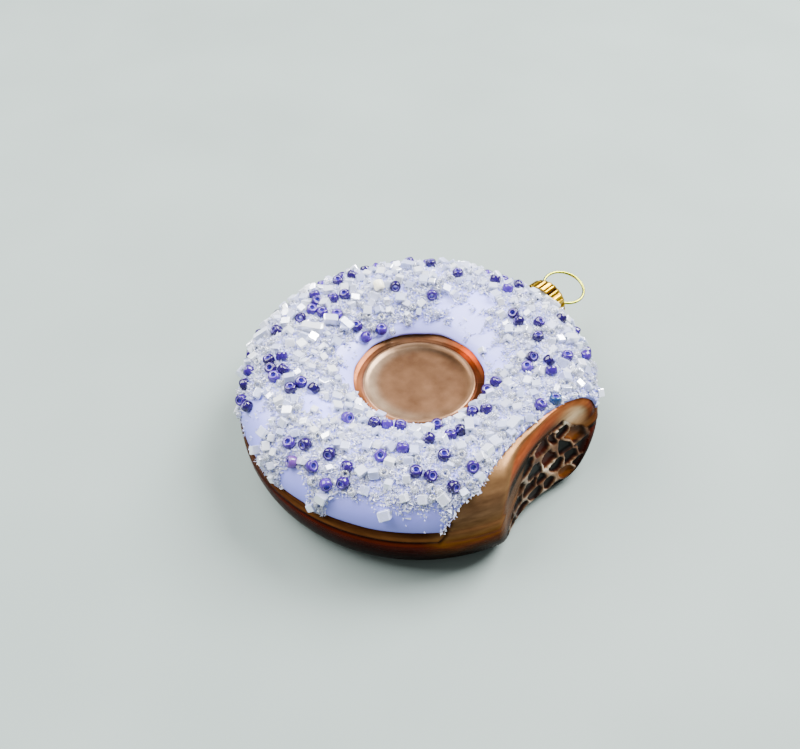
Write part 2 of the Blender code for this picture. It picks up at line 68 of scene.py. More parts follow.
FOOT_OUTER_RADIUS = 36.5 * MM
FOOT_INNER_RADIUS = 21.0 * MM
UNDER_PAN_HEIGHT = 6.5 * MM
ICING_EDGE_HEIGHT = 15.9 * MM
SEAT_DEPTH = 1.0 * MM               # from the icing's face down to the glass under it
BITE_DIRECTION = 6.5                # degrees from +X
BITE_AXIS_DISTANCE = 88.0 * MM
BITE_FOOT_RADIUS = 52.0 * MM
BITE_LEAN = 0.8 * MM
FOOT_ROUNDING = 4.0 * MM
SHOULDER_HEIGHT = 18.5 * MM
SHOULDER_TOP = 25.6 * MM
SHOULDER_WIDTH = 3.8 * MM
NARROW_SHOULDER = 0.35
WIDENING = (-2.0, 14.0)             # degrees round the bite's axis
FOOT_BULGE = 4.8 * MM
BULGE_TURN = -14.0
BULGE_SPREAD = 18.0
HORN_ROUNDING = 1.6 * MM            # blown glass has no sharp corners
NECK_RADIUS = 4.9 * MM
NECK_END = 51.0 * MM
glass_low, glass_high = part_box("glass_body")
RING_AXIS = Vector((glass_low.x + BODY_RADIUS, glass_high.y - NECK_END, 0.0))


def linear(code, alpha=1.0):
    """An sRGB hex colour as the linear values that a shader takes."""
    channels = [int(code[start:start + 2], 16) / 255 for start in (1, 3, 5)]
    bent = [c / 12.92 if c <= 0.04045 else ((c + 0.055) / 1.055) ** 2.4 for c in channels]
    return (*bent, alpha)


def add_node(tree, kind, settings=None, **links):
    """Add a shader node, set its sockets or options, and link its inputs by name."""
    node = tree.nodes.new(kind)
    for name, value in (settings or {}).items():
        if name == "stops":
            stops = node.color_ramp.elements
            for index, (position, *colour) in enumerate(value):
                stop = stops[index] if index < 2 else stops.new(position)
                stop.position, stop.color = position, linear(*colour)
        elif name in node.inputs:
            node.inputs[name].default_value = value
        else:
            setattr(node, name, value)
    for name, source in links.items():
        slot = {"Under": 6, "Over": 7}.get(name, name.replace("_", " "))
        tree.links.new(source, node.inputs[slot])
    return node


def new_material(name, **values):
    """A Principled material, its constant values set on the shader's own sockets."""
    material = bpy.data.materials.new(name)
    material.use_nodes = True
    shader = material.node_tree.nodes["Principled BSDF"]
    for socket, value in values.items():
        shader.inputs[socket.replace("_", " ")].default_value = value
    return material, material.node_tree, shader


def add_piece(name, points, faces, material, smooth=True):
    """A mesh piece in the ring's own coordinates, moved to the ring's place."""
    mesh = bpy.data.meshes.new(name)
    mesh.from_pydata(np.asarray(points, dtype=float).tolist(), [], faces)
    mesh.transform(Matrix.Translation(RING_AXIS))
    mesh.polygons.foreach_set("use_smooth", [smooth] * len(mesh.polygons))
    mesh.materials.append(material)
    mesh.update()
    piece = bpy.data.objects.new(name, mesh)
    bpy.context.scene.collection.objects.link(piece)
    return piece


def paint(piece, name, values):
    """Store one number for each vertex, for the material to read."""
    layer = piece.data.attributes.new(name, "FLOAT", "POINT")
    layer.data.foreach_set("value", np.asarray(values, dtype=np.float32))


def grid_faces(columns, rows, closed_section):
    """Faces of a grid that closes round the ring, and round its section if that is a loop."""
    faces = []
    for column in range(columns):
        after = (column + 1) % columns
        for row in range(rows if closed_section else rows - 1):
            below = (row + 1) % rows
            faces.append((column * rows + row, column * rows + below,
                          after * rows + below, after * rows + row))
    return faces


def corner(centre, radii, start, stop, steps, power=2.0):
    """Points of a rounded corner, from one angle to another, as (radius, height)."""
    points = []
    for step in range(steps + 1):
        angle = math.radians(start + (stop - start) * step / steps)
        across, up = math.cos(angle), math.sin(angle)
        points.append((centre[0] + radii[0] * math.copysign(abs(across) ** (2 / power), across),
                       centre[1] + radii[1] * math.copysign(abs(up) ** (2 / power), up)))
    return points


def icing_curve(steps=24):
    """The iced surface in section, from the hole over the crown to the lower edge."""
    inner = corner((CROWN_RADIUS, HOLE_HEIGHT),
                   (CROWN_RADIUS - HOLE_RADIUS, CROWN_HEIGHT - HOLE_HEIGHT),
                   180, 90, steps, HOLE_POWER)
    edge_rise = (ICING_EDGE_HEIGHT - CREASE_HEIGHT) / (CROWN_HEIGHT - CREASE_HEIGHT)
    edge_angle = math.degrees(math.asin(edge_rise ** (CROWN_POWER / 2)))
    outer = corner((CROWN_RADIUS, CREASE_HEIGHT),
                   (BODY_RADIUS - 0.1 * MM - CROWN_RADIUS, CROWN_HEIGHT - CREASE_HEIGHT),
                   90, edge_angle, steps, CROWN_POWER)
    return inner + outer[1:]


def inset_curve(curve, depth):
    """The same curve moved a depth into the glass, square to its surface."""
    moved = []
    for index, (radius, height) in enumerate(curve):
        before = Vector(curve[max(index - 1, 0)])
        after = Vector(curve[min(index + 1, len(curve) - 1)])
        along = (after - before).normalized()
        moved.append((radius + depth * along.y, height - depth * along.x))
    return moved


def points_from(origin, offsets):
    """Points at offsets in millimetres from an origin, as (radius, height)."""
    return [(origin[0] + across * MM, origin[1] + up * MM) for across, up in offsets]


def glass_section():
    """The glass in section: dished pan, groove, seat of the icing, ledge, crease and foot."""
    dish = [(PAN_RADIUS * share, PAN_HEIGHT + 0.1 * MM - 0.25 * MM * share ** 3)
            for share in np.linspace(0.02, 0.86, 16)]
    lip = points_from((PAN_RADIUS, PAN_HEIGHT), (
        (-1.1, 0.0), (-0.7, 0.16), (-0.35, 0.34), (0.0, 0.46), (0.3, 0.4), (0.6, 0.2),
        (0.9, 0.04), (1.2, 0.04), (1.5, 0.14)))
    wall = points_from((HOLE_RADIUS, HOLE_HEIGHT), (
        (-0.6, -0.9), (-0.35, -0.85), (-0.05, -0.7), (0.35, -0.5)))
    seat = inset_curve(icing_curve(34), SEAT_DEPTH)
    ledge = points_from((BODY_RADIUS, ICING_EDGE_HEIGHT), (
        (-1.2, -0.45), (-0.75, -0.65), (-0.45, -1.0), (-0.25, -1.5)))
    ledge += points_from((BODY_RADIUS, CREASE_HEIGHT), (
        (-0.1, 0.95), (-0.02, 0.6), (0.0, 0.3), (0.0, 0.0)))
    lower = corner((FOOT_OUTER_RADIUS, CREASE_HEIGHT - 0.3 * MM),
                   (BODY_RADIUS - 0.1 * MM - FOOT_OUTER_RADIUS, CREASE_HEIGHT - 0.3 * MM),
                   0, -90, 44, 2.3)
    foot = [(radius * MM, 0.0) for radius in np.linspace(35.5, 22.0, 12)]
    recess = corner((FOOT_INNER_RADIUS, 5.0 * MM), (5.0 * MM, 5.0 * MM), 270, 180, 8)
    under = [(15.0 * MM, UNDER_PAN_HEIGHT - 0.7 * MM)]
    under += [(radius * MM, UNDER_PAN_HEIGHT) for radius in np.linspace(13.6, 0.3, 12)]
    return np.array(dish + lip + wall + seat[2:] + ledge + lower + foot + recess + under)


def smooth_step(values, start, stop):
    share = np.clip((np.asarray(values) - start) / (stop - start), 0.0, 1.0)
    return share * share * (3 - 2 * share)


def smooth_min(first, second, rounding):
    """The smaller of two values, with the corner between them rounded off."""
    share = np.clip(0.5 + 0.5 * (second - first) / rounding, 0.0, 1.0)
    return second * (1 - share) + first * share - rounding * share * (1 - share)


def hump(values, middle, spread):
    """1 at the middle, falling smoothly to nothing on both sides."""
    return np.exp(-((np.asarray(values) - middle) / spread) ** 2)


def ripple(angle, seed, waves, strength):
    """A slow unevenness round the ring, as hand work leaves."""
    draw = random.Random(seed)
    total = 0.0
    for wave in waves:
        total = total + draw.uniform(0.5, 1.0) * np.cos(wave * angle + draw.uniform(0, 6.3))
    return strength * total / len(waves)


def bite_radius(turn, height):
    """Radius of the trumpet that makes the bite, at a turn round its axis and a height."""
    foot = 0.8 * FOOT_ROUNDING * np.clip(1 - height / FOOT_ROUNDING, 0, 1) ** 2
    lean = BITE_LEAN * np.clip((height - FOOT_ROUNDING) / (SHOULDER_HEIGHT - FOOT_ROUNDING), 0, 1)
    rise = np.clip((height - SHOULDER_HEIGHT) / (SHOULDER_TOP - SHOULDER_HEIGHT), 0, 0.999)
    wide = NARROW_SHOULDER + (1 - NARROW_SHOULDER) * smooth_step(turn, *WIDENING)
    bulge = FOOT_BULGE * hump(turn, BULGE_TURN, BULGE_SPREAD)
    bulge = bulge * np.clip(1 - height / SHOULDER_HEIGHT, 0, 1)
    return (BITE_FOOT_RADIUS + foot + lean - bulge
            + SHOULDER_WIDTH * wide * (1 - np.sqrt(1 - rise * rise)))


def bite_turn(x, y):
    """Degrees round the bite's axis, more towards the -Y horn, and the distance from it."""
    direction = math.radians(BITE_DIRECTION)
    out_x = BITE_AXIS_DISTANCE * math.cos(direction) - x
    out_y = BITE_AXIS_DISTANCE * math.sin(direction) - y
    return np.degrees(np.arctan2(out_y, out_x)) - BITE_DIRECTION, out_x, out_y


def bite_reach(angle, height):
    """How far out the glass goes at an angle and a height before the bite cuts it."""
    swing = angle - math.radians(BITE_DIRECTION)
    swing = (swing + math.pi) % (2 * math.pi) - math.pi
    side = BITE_AXIS_DISTANCE * np.sin(swing)
    turn = np.zeros(angle.shape)
    for pass_number in range(5):
        inside = bite_radius(turn, height) ** 2 - side ** 2
        reach = BITE_AXIS_DISTANCE * np.cos(swing) - np.sqrt(np.maximum(inside, 0.0))
        turn = bite_turn(reach * np.cos(angle), reach * np.sin(angle))[0]
    return np.where((inside > 0) & (np.abs(swing) < math.pi / 2), reach, 1.0)


CELL_PITCH = (5.2 * MM, 3.7 * MM)   # along the bite and up it
CELL_DEPTH = 1.1 * MM
CELL_SLANT = math.radians(9)        # the cells are drawn out a little aslant
CELL_STRETCH = 1.55
CELL_REACH = 2.25 * MM              # beyond this from a cell's heart there is only crumb
CRUMB_TOP = 19.8 * MM               # above this the bitten face is smooth
CRUMB_SPAN = (-11.0, 4.5)           # degrees round the bite's axis; past them the top falls


def crumb_cells(along, height):
    """How much crumb wall there is at places on the bitten face, how pale it is, and the cells'
    own tone."""
    draw = random.Random(19)
    centres = []
    for row in range(-1, 7):
        for column in range(-6, 7):
            across = (column + 0.5 * (row % 2)) * CELL_PITCH[0] + draw.uniform(-1.5, 1.5) * MM
            up = (row + 0.4) * CELL_PITCH[1] + draw.uniform(-0.9, 0.9) * MM
            centres.append((across, up, draw.random(), draw.uniform(0.72, 1.25)))
    waver = 0.35 * MM * (np.sin(along / (0.9 * MM) + 3 * np.sin(height / (1.7 * MM)))
                         + np.sin(height / (0.7 * MM) + 2 * np.sin(along / (2.1 * MM))))
    first = np.full(along.shape, 1.0)
    second = np.full(along.shape, 1.0)
    tone = np.zeros(along.shape)
    for across, up, shade, size in centres:
        slide, lift = along + waver - across, height - up
        lengthwise = slide * math.cos(CELL_SLANT) + lift * math.sin(CELL_SLANT)
        crosswise = lift * math.cos(CELL_SLANT) - slide * math.sin(CELL_SLANT)
        gap = np.hypot(lengthwise / CELL_STRETCH, crosswise) / size
        nearer = gap < first
        second = np.where(nearer, first, np.minimum(second, gap))
        first = np.where(nearer, gap, first)
        tone = np.where(nearer, shade, tone)
    between = np.minimum(second - first, 2.2 * (CELL_REACH - first))
    thin = 0.25 * MM + 0.2 * MM * np.sin(along / (1.9 * MM) + 1.0) * np.sin(height / (2.3 * MM))
    wall = 1 - smooth_step(between, thin, thin + 0.6 * MM)
    patchy = np.sin(along / (2.4 * MM) + 2 * np.sin(height / (3.1 * MM))) * np.cos(
        height / (2.6 * MM) + 1.5 * np.sin(along / (3.7 * MM)))
    return wall, wall * (0.8 + 0.25 * patchy), tone


OUTER_WALL = 40.0 * MM              # the outer wall lies beyond this radius
HOLE_REACH = 20.0 * MM              # the hole's uneven edge lies inside this radius
FINE_STEP, COARSE_STEP = 0.33, 1.5  # degrees between columns at the bite and round the rest
PAINTED_PAN = 18.0 * MM             # the pan's tones run out to here
# The painted glints, painted reflections and painted shade round the pan are laid out from this
# direction
PAINTED_LIGHT_START = 42.0              # degrees from +X to where the tones round the pan begin
HORN = (-46.0, -38.0)               # degrees from +X over which the crease fades into the horn
CRACK = ((-36.6, 17.3 * MM), (-40.2, 12.6 * MM))   # degrees and height of a fold on the horn
CRACK_DEPTH, CRACK_WIDTH = 0.35 * MM, 0.42 * MM
WAIST_DEPTH = 0.12 * MM             # what is left of the crease on the horn


def crack_mask(angle, height):
    """The fold where the mould line runs out on the horn."""
    along = np.degrees(angle) * BODY_RADIUS * math.pi / 180
    start, stop = [(math.radians(degrees) * BODY_RADIUS, high) for degrees, high in CRACK]
    run = np.array(stop) - np.array(start)
    share = ((along - start[0]) * run[0] + (height - start[1]) * run[1]) / (run @ run)
    share = np.clip(share, 0.0, 1.0)
    away = np.hypot(along - start[0] - share * run[0], height - start[1] - share * run[1])
    return hump(away, 0.0, CRACK_WIDTH)


def facing(degrees, direction):
    """1 in a direction round the pan, falling to 0 opposite it, counted from where the painted
    light and shade round the pan begin.
    """
    return 0.5 + 0.5 * np.cos(np.radians(degrees - PAINTED_LIGHT_START - direction))


def make_glass():
    section = glass_section()
    fine = np.radians(np.arange(-50.0, 43.0, FINE_STEP))
    coarse = np.radians(np.arange(43.0, 310.0, COARSE_STEP))
    angles = np.concatenate([fine, coarse])
    angle, radius = np.meshgrid(angles, section[:, 0], indexing="ij")
    height = np.broadcast_to(section[:, 1], angle.shape)
    on_top = height > 10 * MM
    uneven = smooth_step(radius, 12 * MM, 15 * MM) * ripple(angle, 3, (3, 5, 8), 0.25 * MM)
    radius = radius + uneven * (radius < HOLE_REACH)
    degrees = np.degrees(angle)
    horn = smooth_step(degrees, *HORN) * (1 - smooth_step(degrees, 6, 20))
    outer = radius > OUTER_WALL
    crack = crack_mask(angle, height) * outer
    crease = hump(height, CREASE_HEIGHT - 0.1 * MM, 0.33 * MM) * outer
    waist = hump(height, CREASE_HEIGHT + 0.3 * MM, 1.0 * MM) * outer
    radius = radius - CREASE_DEPTH * crease * (1 - horn) - CRACK_DEPTH * crack
    radius = radius - WAIST_DEPTH * horn * waist
    reach = bite_reach(angle, height)
    cut = smooth_min(radius, reach, HORN_ROUNDING)
    x, y = cut * np.cos(angle), cut * np.sin(angle)
    turn, out_x, out_y = bite_turn(x, y)
    length = np.hypot(out_x, out_y)
    bitten = smooth_step(radius - reach, 0.6 * MM, 2.4 * MM)
    ceiling = CRUMB_TOP + ripple(angle, 9, (31, 53), 0.6 * MM)
    ceiling = ceiling - 1.0 * MM * np.maximum(turn - CRUMB_SPAN[1], 0)
    ceiling = ceiling - 0.8 * MM * np.maximum(CRUMB_SPAN[0] - turn, 0)
    face = bitten * smooth_step(ceiling - height, 0.0, 1.4 * MM)
    face = face * smooth_step(height, 2.0 * MM, 3.6 * MM)
    wall, pale, tone = crumb_cells(np.radians(turn) * BITE_FOOT_RADIUS, height)
    depth = face * CELL_DEPTH * (1 - wall) * (0.6 + 0.4 * tone)
    x = x - depth * out_x / length
    y = y - depth * out_y / length
    points = np.stack([x, y, height], axis=-1).reshape(-1, 3)
    rows = len(section)
    faces = grid_faces(len(angles), rows, False)
    top, bottom = len(points), len(points) + 1
    points = np.vstack([points, [(0, 0, PAN_HEIGHT + 0.1 * MM), (0, 0, UNDER_PAN_HEIGHT)]])
    for column in range(len(angles)):
        after = (column + 1) % len(angles)
        faces.append((top, column * rows, after * rows))
        faces.append((bottom, after * rows + rows - 1, column * rows + rows - 1))
    glass = add_piece("lacquered_glass", points, faces,
                      lacquered("bronze_brown_lacquer", Metallic=0.55, Roughness=0.27, IOR=1.5,
                                Specular_IOR_Level=0.05, Specular_Tint=linear("#7a4428")))
    glass.data.materials.append(lacquered("crumb_lacquer", Roughness=0.28, IOR=1.5,
                                          Specular_IOR_Level=0.08))
    around = (degrees - PAINTED_LIGHT_START) % 360 / 360
    pan_top = on_top * (radius < PAINTED_PAN)
    # Masks for the coats: those round the pan, on the bite's shoulder, at its far end, on the
    # crumb near the horns and along the fold mark where painted shade, painted highlights and
    # painted reflections go
    zones = {
        "height": height / CROWN_HEIGHT, "horn": horn * (1 - face) * (radius > HOLE_REACH),
        "pan": pan_top, "pan_run": radius / PAINTED_PAN, "around": around,
        "pan_wall": pan_top * smooth_step(radius, 13.9 * MM, 14.3 * MM),
        "pan_shade": pan_top * hump(radius, 12.2 * MM, 1.8 * MM) * facing(degrees, 72) ** 3,
        "pan_light": pan_top * hump(radius, 12.0 * MM, 1.5 * MM) * facing(degrees, 195) ** 2,
        "shoulder": bitten * smooth_step(height, SHOULDER_HEIGHT - 1.5 * MM, SHOULDER_HEIGHT),
        "rise": (height - SHOULDER_HEIGHT) / (SHOULDER_TOP - SHOULDER_HEIGHT),
        "crumb": face, "wall": wall, "pale": pale, "cell": tone, "crack": crack,
        "far_light": bitten * (1 - face) * hump(turn, -14.0, 6.0) * hump(height, 20 * MM, 4 * MM),
        "shade": face * np.maximum(smooth_step(turn, 0.0, 9.0), smooth_step(-turn, 13.0, 19.0)),
    }
    for name, values in zones.items():
        values = np.broadcast_to(values, angle.shape)
        paint(glass, name, np.append(values.reshape(-1), values[0, [0, -1]]))
    indices = (face[:, :-1] > 0.5).astype(int).reshape(-1)
    glass.data.polygons.foreach_set("material_index", np.append(indices, [0, 0] * len(angles)))
    return glass


# Each coat: the mask that it keeps to, what its tones run along, how much it covers ("alpha"
# where its tones say so themselves), and its tones from one end to the other. Some coats hold
# the lacquer's own colours and some hold painted shade, painted highlights and painted reflections
LACQUER_AND_PAINTED_LIGHT_COATS = (
    # The ring's lacquer by height: near black at the bottom as painted shade under the ring, a
    # dark line in the crease as painted shade, an amber line on the ledge above it as a painted
    # highlight, then browns to copper
    (None, "height", 1.0,
     ((0.0, "#030100"), (0.10, "#080201"), (0.24, "#1c0602"), (0.36, "#3a0e04"), (0.46, "#5a200c"),
      (0.485, "#0c0301"), (0.505, "#160702"), (0.53, "#6a4020"), (0.56, "#543218"),
      (0.6, "#4a2814"), (0.64, "#6a3a1e"), (0.8, "#a86238"))),
    # On the horn: browns, with an amber band low down as a painted highlight and near black below
    # it as painted shade
    ("horn", "height", 1.0,
     ((0.0, "#030100"), (0.15, "#0a0301"), (0.27, "#2c1404"), (0.4, "#663a0a"),
      (0.46, "#7a4a14"), (0.54, "#684626"), (0.7, "#70523a"), (0.9, "#80603f"), (1.0, "#64442c"))),
    # Round the pan: an even floor, the lip a little lighter as a painted highlight, the groove
    # dark as painted shade, and near black from the icing's edge outwards as painted shadow
    ("pan", "pan_run", 1.0,
     ((0.0, "#74543c"), (0.48, "#76563e"), (0.62, "#72523a"), (0.68, "#75553c"), (0.71, "#7e5e44"),
      (0.745, "#8c6c52"), (0.768, "#8c6a50"), (0.785, "#5c3a26"), (0.8, "#2c150a"),
      (0.84, "#6a3e24"), (0.88, "#4a2614"), (0.9, "#160a05"))),
    # Round the pan's wall: an orange-red painted glint, a pale salmon painted reflection opposite
    # it, and darker browns between as painted shade
    ("pan_wall", "around", 0.8,
     ((0.0, "#4a2414"), (0.05, "#54240f"), (0.08, "#8e340f"), (0.11, "#b83c0e"), (0.14, "#7a3414"),
      (0.19, "#6a4630"), (0.34, "#5c4430"), (0.42, "#7a4a30"), (0.5, "#b06c46"), (0.6, "#8a5230"),
      (0.75, "#6a3e24"), (0.9, "#4c2816"), (1.0, "#3e1e10"))),
    # Painted shade on the pan's floor, under the far side of its lip
    ("pan_shade", "pan_run", 0.9, ((0.0, "#2c2016"), (1.0, "#20160d"))),
    # Painted highlight: a pale arc on the pan's floor inside its lip on the left
    ("pan_light", "pan_run", 0.8, ((0.0, "#a08870"), (1.0, "#b09a80"))),
    # On the bite's shoulder: near black at its foot as painted shade, copper lacquer across its
    # middle brightened as a painted highlight, and dark again under the icing's edge as painted
    # shade
    ("shoulder", "rise", 1.0,
     ((0.0, "#120b05"), (0.08, "#1c1208"), (0.24, "#4a2c16"), (0.42, "#8e4f2a"), (0.62, "#ac5a32"),
      (0.84, "#94502c"), (0.95, "#70381c"), (1.0, "#2e1208"))),
    ("crumb", "cell", 1.0,
     ((0.0, "#030100"), (0.3, "#060201"), (0.5, "#1a0602"), (0.7, "#3a1004"), (0.86, "#5c2a0c"),
      (1.0, "#8a5014"))),
    # Painted highlight on the smooth shoulder at the bite's far end
    ("far_light", "height", 1.0, ((0.5, "#a87040"), (0.72, "#ecc8a0"), (0.9, "#cc9060"))),
    ("crumb", "pale", "alpha",
     ((0.0, "#1e0803", 0.0), (0.25, "#2a0c06", 0.4), (0.5, "#40200f", 0.95),
      (0.76, "#806248", 1.0), (1.0, "#dccab0", 1.0))),
    # Painted shade on the crumb towards both horns, darkening the cells and dimming the pale walls
    ("shade", "wall", 0.8, ((0.0, "#060201"), (0.5, "#180a04"), (1.0, "#3e2818"))),
    # Painted shade: a dark line along the fold on the horn
    ("crack", "height", 0.9, ((0.0, "#1a0a04"), (1.0, "#1a0a04"))),
)


def stored(tree, name):
    """The number that is stored for each vertex under a name."""
    return add_node(tree, "ShaderNodeAttribute", {"attribute_name": name}).outputs["Fac"]


def clouds(tree, size, detail=2.0, squash=None):
    """Soft patches of a size in metres, in the piece's own coordinates."""
    place = add_node(tree, "ShaderNodeTexCoord").outputs["Object"]
    if squash is not None:
        place = add_node(tree, "ShaderNodeMapping", {"Scale": squash}, Vector=place).outputs[0]
    return add_node(tree, "ShaderNodeTexNoise", {"Scale": 1 / size, "Detail": detail},
                    Vector=place).outputs["Fac"]


def colour_ramp(tree, stops, along):
    """A ramp of colours, read along a value."""
    return add_node(tree, "ShaderNodeValToRGB", {"stops": stops}, Fac=along)


def multiplied(tree, under, over, amount=1.0):
    """One colour multiplied by another."""
    return add_node(tree, "ShaderNodeMix",
                    {"data_type": "RGBA", "blend_type": "MULTIPLY", "Factor": amount},
                    Under=under, Over=over).outputs[2]


def roughen(tree, shader, height, strength, depth):
    """Bumps too fine to be geometry, of a depth in metres."""
    bump = add_node(tree, "ShaderNodeBump", {"Strength": strength, "Distance": depth},
                    Height=height)
    tree.links.new(bump.outputs["Normal"], shader.inputs["Normal"])


def lacquered(name, **values):
    """Lacquer laid coat over coat: glossy brown, with painted shade, painted highlights and
    painted reflections as coats of their own.
    """
    material, tree, shader = new_material(name, **values)
    colour = None
    for mask, run, cover, stops in LACQUER_AND_PAINTED_LIGHT_COATS:
        coat = colour_ramp(tree, stops, stored(tree, run))
        if mask is None:
            colour = coat.outputs["Color"]
            continue
        amount = add_node(tree, "ShaderNodeMath", {"operation": "MULTIPLY"})
        tree.links.new(stored(tree, mask), amount.inputs[0])
        if cover == "alpha":
            tree.links.new(coat.outputs["Alpha"], amount.inputs[1])
        else:
            amount.inputs[1].default_value = cover
        colour = add_node(tree, "ShaderNodeMix", {"data_type": "RGBA"}, Under=colour,
                          Over=coat.outputs["Color"], Factor=amount.outputs[0]).outputs[2]
    # The spray lies in faint streaks round the ring, some 5 mm long and a quarter as high
    passes = colour_ramp(tree, ((0.3, "#b8b2ae"), (0.72, "#ffffff")),
                         clouds(tree, 5 * MM, 4.0, (1.0, 1.0, 4.0)))
    colour = multiplied(tree, colour, passes.outputs["Color"], 0.9)
    tree.links.new(colour, shader.inputs["Base Color"])
    # Blown glass is faintly mottled, every 1.6 mm or so
    roughen(tree, shader, clouds(tree, 1.6 * MM, 4.0), 0.1, 0.2 * MM)
    return material


glass = make_glass()
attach(glass, "root")
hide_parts("glass_body")

# The neck: the blowpipe's end of the same bubble, a short tube of bare frosted glass that
# flares into the ring. The cap grips it.
NECK_COLUMNS = 48


def make_neck():
    profile = [(NECK_RADIUS + 3.2 * MM, 41.5 * MM), (NECK_RADIUS + 1.6 * MM, 43.6 * MM),
               (NECK_RADIUS + 0.6 * MM, 44.8 * MM), (NECK_RADIUS + 0.1 * MM, 46.2 * MM),
               (NECK_RADIUS, 47.6 * MM), (NECK_RADIUS, NECK_END - 0.4 * MM),
               (NECK_RADIUS - 0.4 * MM, NECK_END), (NECK_RADIUS - 1.1 * MM, NECK_END),
               (NECK_RADIUS - 1.3 * MM, NECK_END - 0.6 * MM), (NECK_RADIUS - 1.3 * MM, 42 * MM),
               (NECK_RADIUS, 41.2 * MM)]
    points = []
    for column in range(NECK_COLUMNS):
        angle = 2 * math.pi * column / NECK_COLUMNS
        points += [(radius * math.cos(angle), along, CREASE_HEIGHT - radius * math.sin(angle))
                   for radius, along in profile]
    faces = [tuple(reversed(face)) for face in grid_faces(NECK_COLUMNS, len(profile), True)]
    # Ground glass: a milky pale grey with no sharp reflection. Its frost is finer than 0.1 mm
    # and is drawn at 0.8 mm, so that it shows
    material, tree, shader = new_material(
        "frosted_glass", Roughness=0.35, IOR=1.5, Transmission_Weight=0.5)
    tint = colour_ramp(tree, ((0.0, "#dfe6ea"), (1.0, "#f6f9fa")), clouds(tree, 0.8 * MM))
    tree.links.new(tint.outputs["Color"], shader.inputs["Base Color"])
    return add_piece("glass_neck", points, faces, material)


neck = make_neck()
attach(neck, "root")
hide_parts("glass_body")

# The icing: lilac lacquer brushed thickly over the top of the ring, with a soft rounded edge
# that wanders a little. It stops short of the bite and shorter still on one horn.
ICING_BITE_RADIUS = 75.0 * MM
ICING_BITES = ((1.4, 108.3 * MM), (-16.5, 114.4 * MM))   # degrees from +X, axis distance
ICING_SKIN = 0.75 * MM


class IcingSurface:
    """The iced surface of revolution, read by the length along its section."""

    def __init__(self):
        self.curve = [Vector(point) for point in icing_curve()]
        self.lengths = [0.0]
        for first, second in zip(self.curve, self.curve[1:]):
            self.lengths.append(self.lengths[-1] + (second - first).length)

    def length_at(self, radius):
        """The length along the section at which it reaches a radius."""
        for index in range(1, len(self.curve)):
            if self.curve[index].x >= radius:
                first, second = self.curve[index - 1], self.curve[index]
                share = (radius - first.x) / max(second.x - first.x, 1e-9)
                return self.lengths[index - 1] + share * (second - first).length
        return self.lengths[-1]

    def frame(self, degrees, length, lift):
        """A matrix whose Z is the surface's normal, at a lift above the surface."""
        index = 1
        while index < len(self.lengths) - 1 and self.lengths[index] < length:
            index += 1
        first, second = self.curve[index - 1], self.curve[index]
        share = (length - self.lengths[index - 1]) / (second - first).length
        point = first.lerp(second, share)
        along = (second - first).normalized()
        centre = Vector((point.x - lift * along.y, 0.0, point.y + lift * along.x))
        columns = Matrix(((along.x, 0.0, -along.y), (0.0, 1.0, 0.0), (along.y, 0.0, along.x)))
        turn = Matrix.Rotation(math.radians(degrees), 4, "Z")
        return turn @ Matrix.Translation(centre) @ columns.to_4x4()


def measured_curve():
    """The iced surface's section as an array, and the length along it at each point."""
    dense = np.array(icing_curve(60))
    return dense, np.append(0.0, np.cumsum(np.hypot(*np.diff(dense, axis=0).T)))


def icing_reach(angle):
    """How far out from the middle the icing goes at an angle, before the bite stops it."""
    reach = np.full(np.shape(angle), BODY_RADIUS)
    for degrees, distance in ICING_BITES:
        swing = (angle - math.radians(degrees) + math.pi) % (2 * math.pi) - math.pi
        inside = ICING_BITE_RADIUS ** 2 - (distance * np.sin(swing)) ** 2
        edge = distance * np.cos(swing) - np.sqrt(np.maximum(inside, 0.0))
        edge = np.where((inside > 0) & (np.abs(swing) < math.pi / 2), edge, 1.0)
        reach = smooth_min(reach, edge, 1.2 * MM)
    return reach


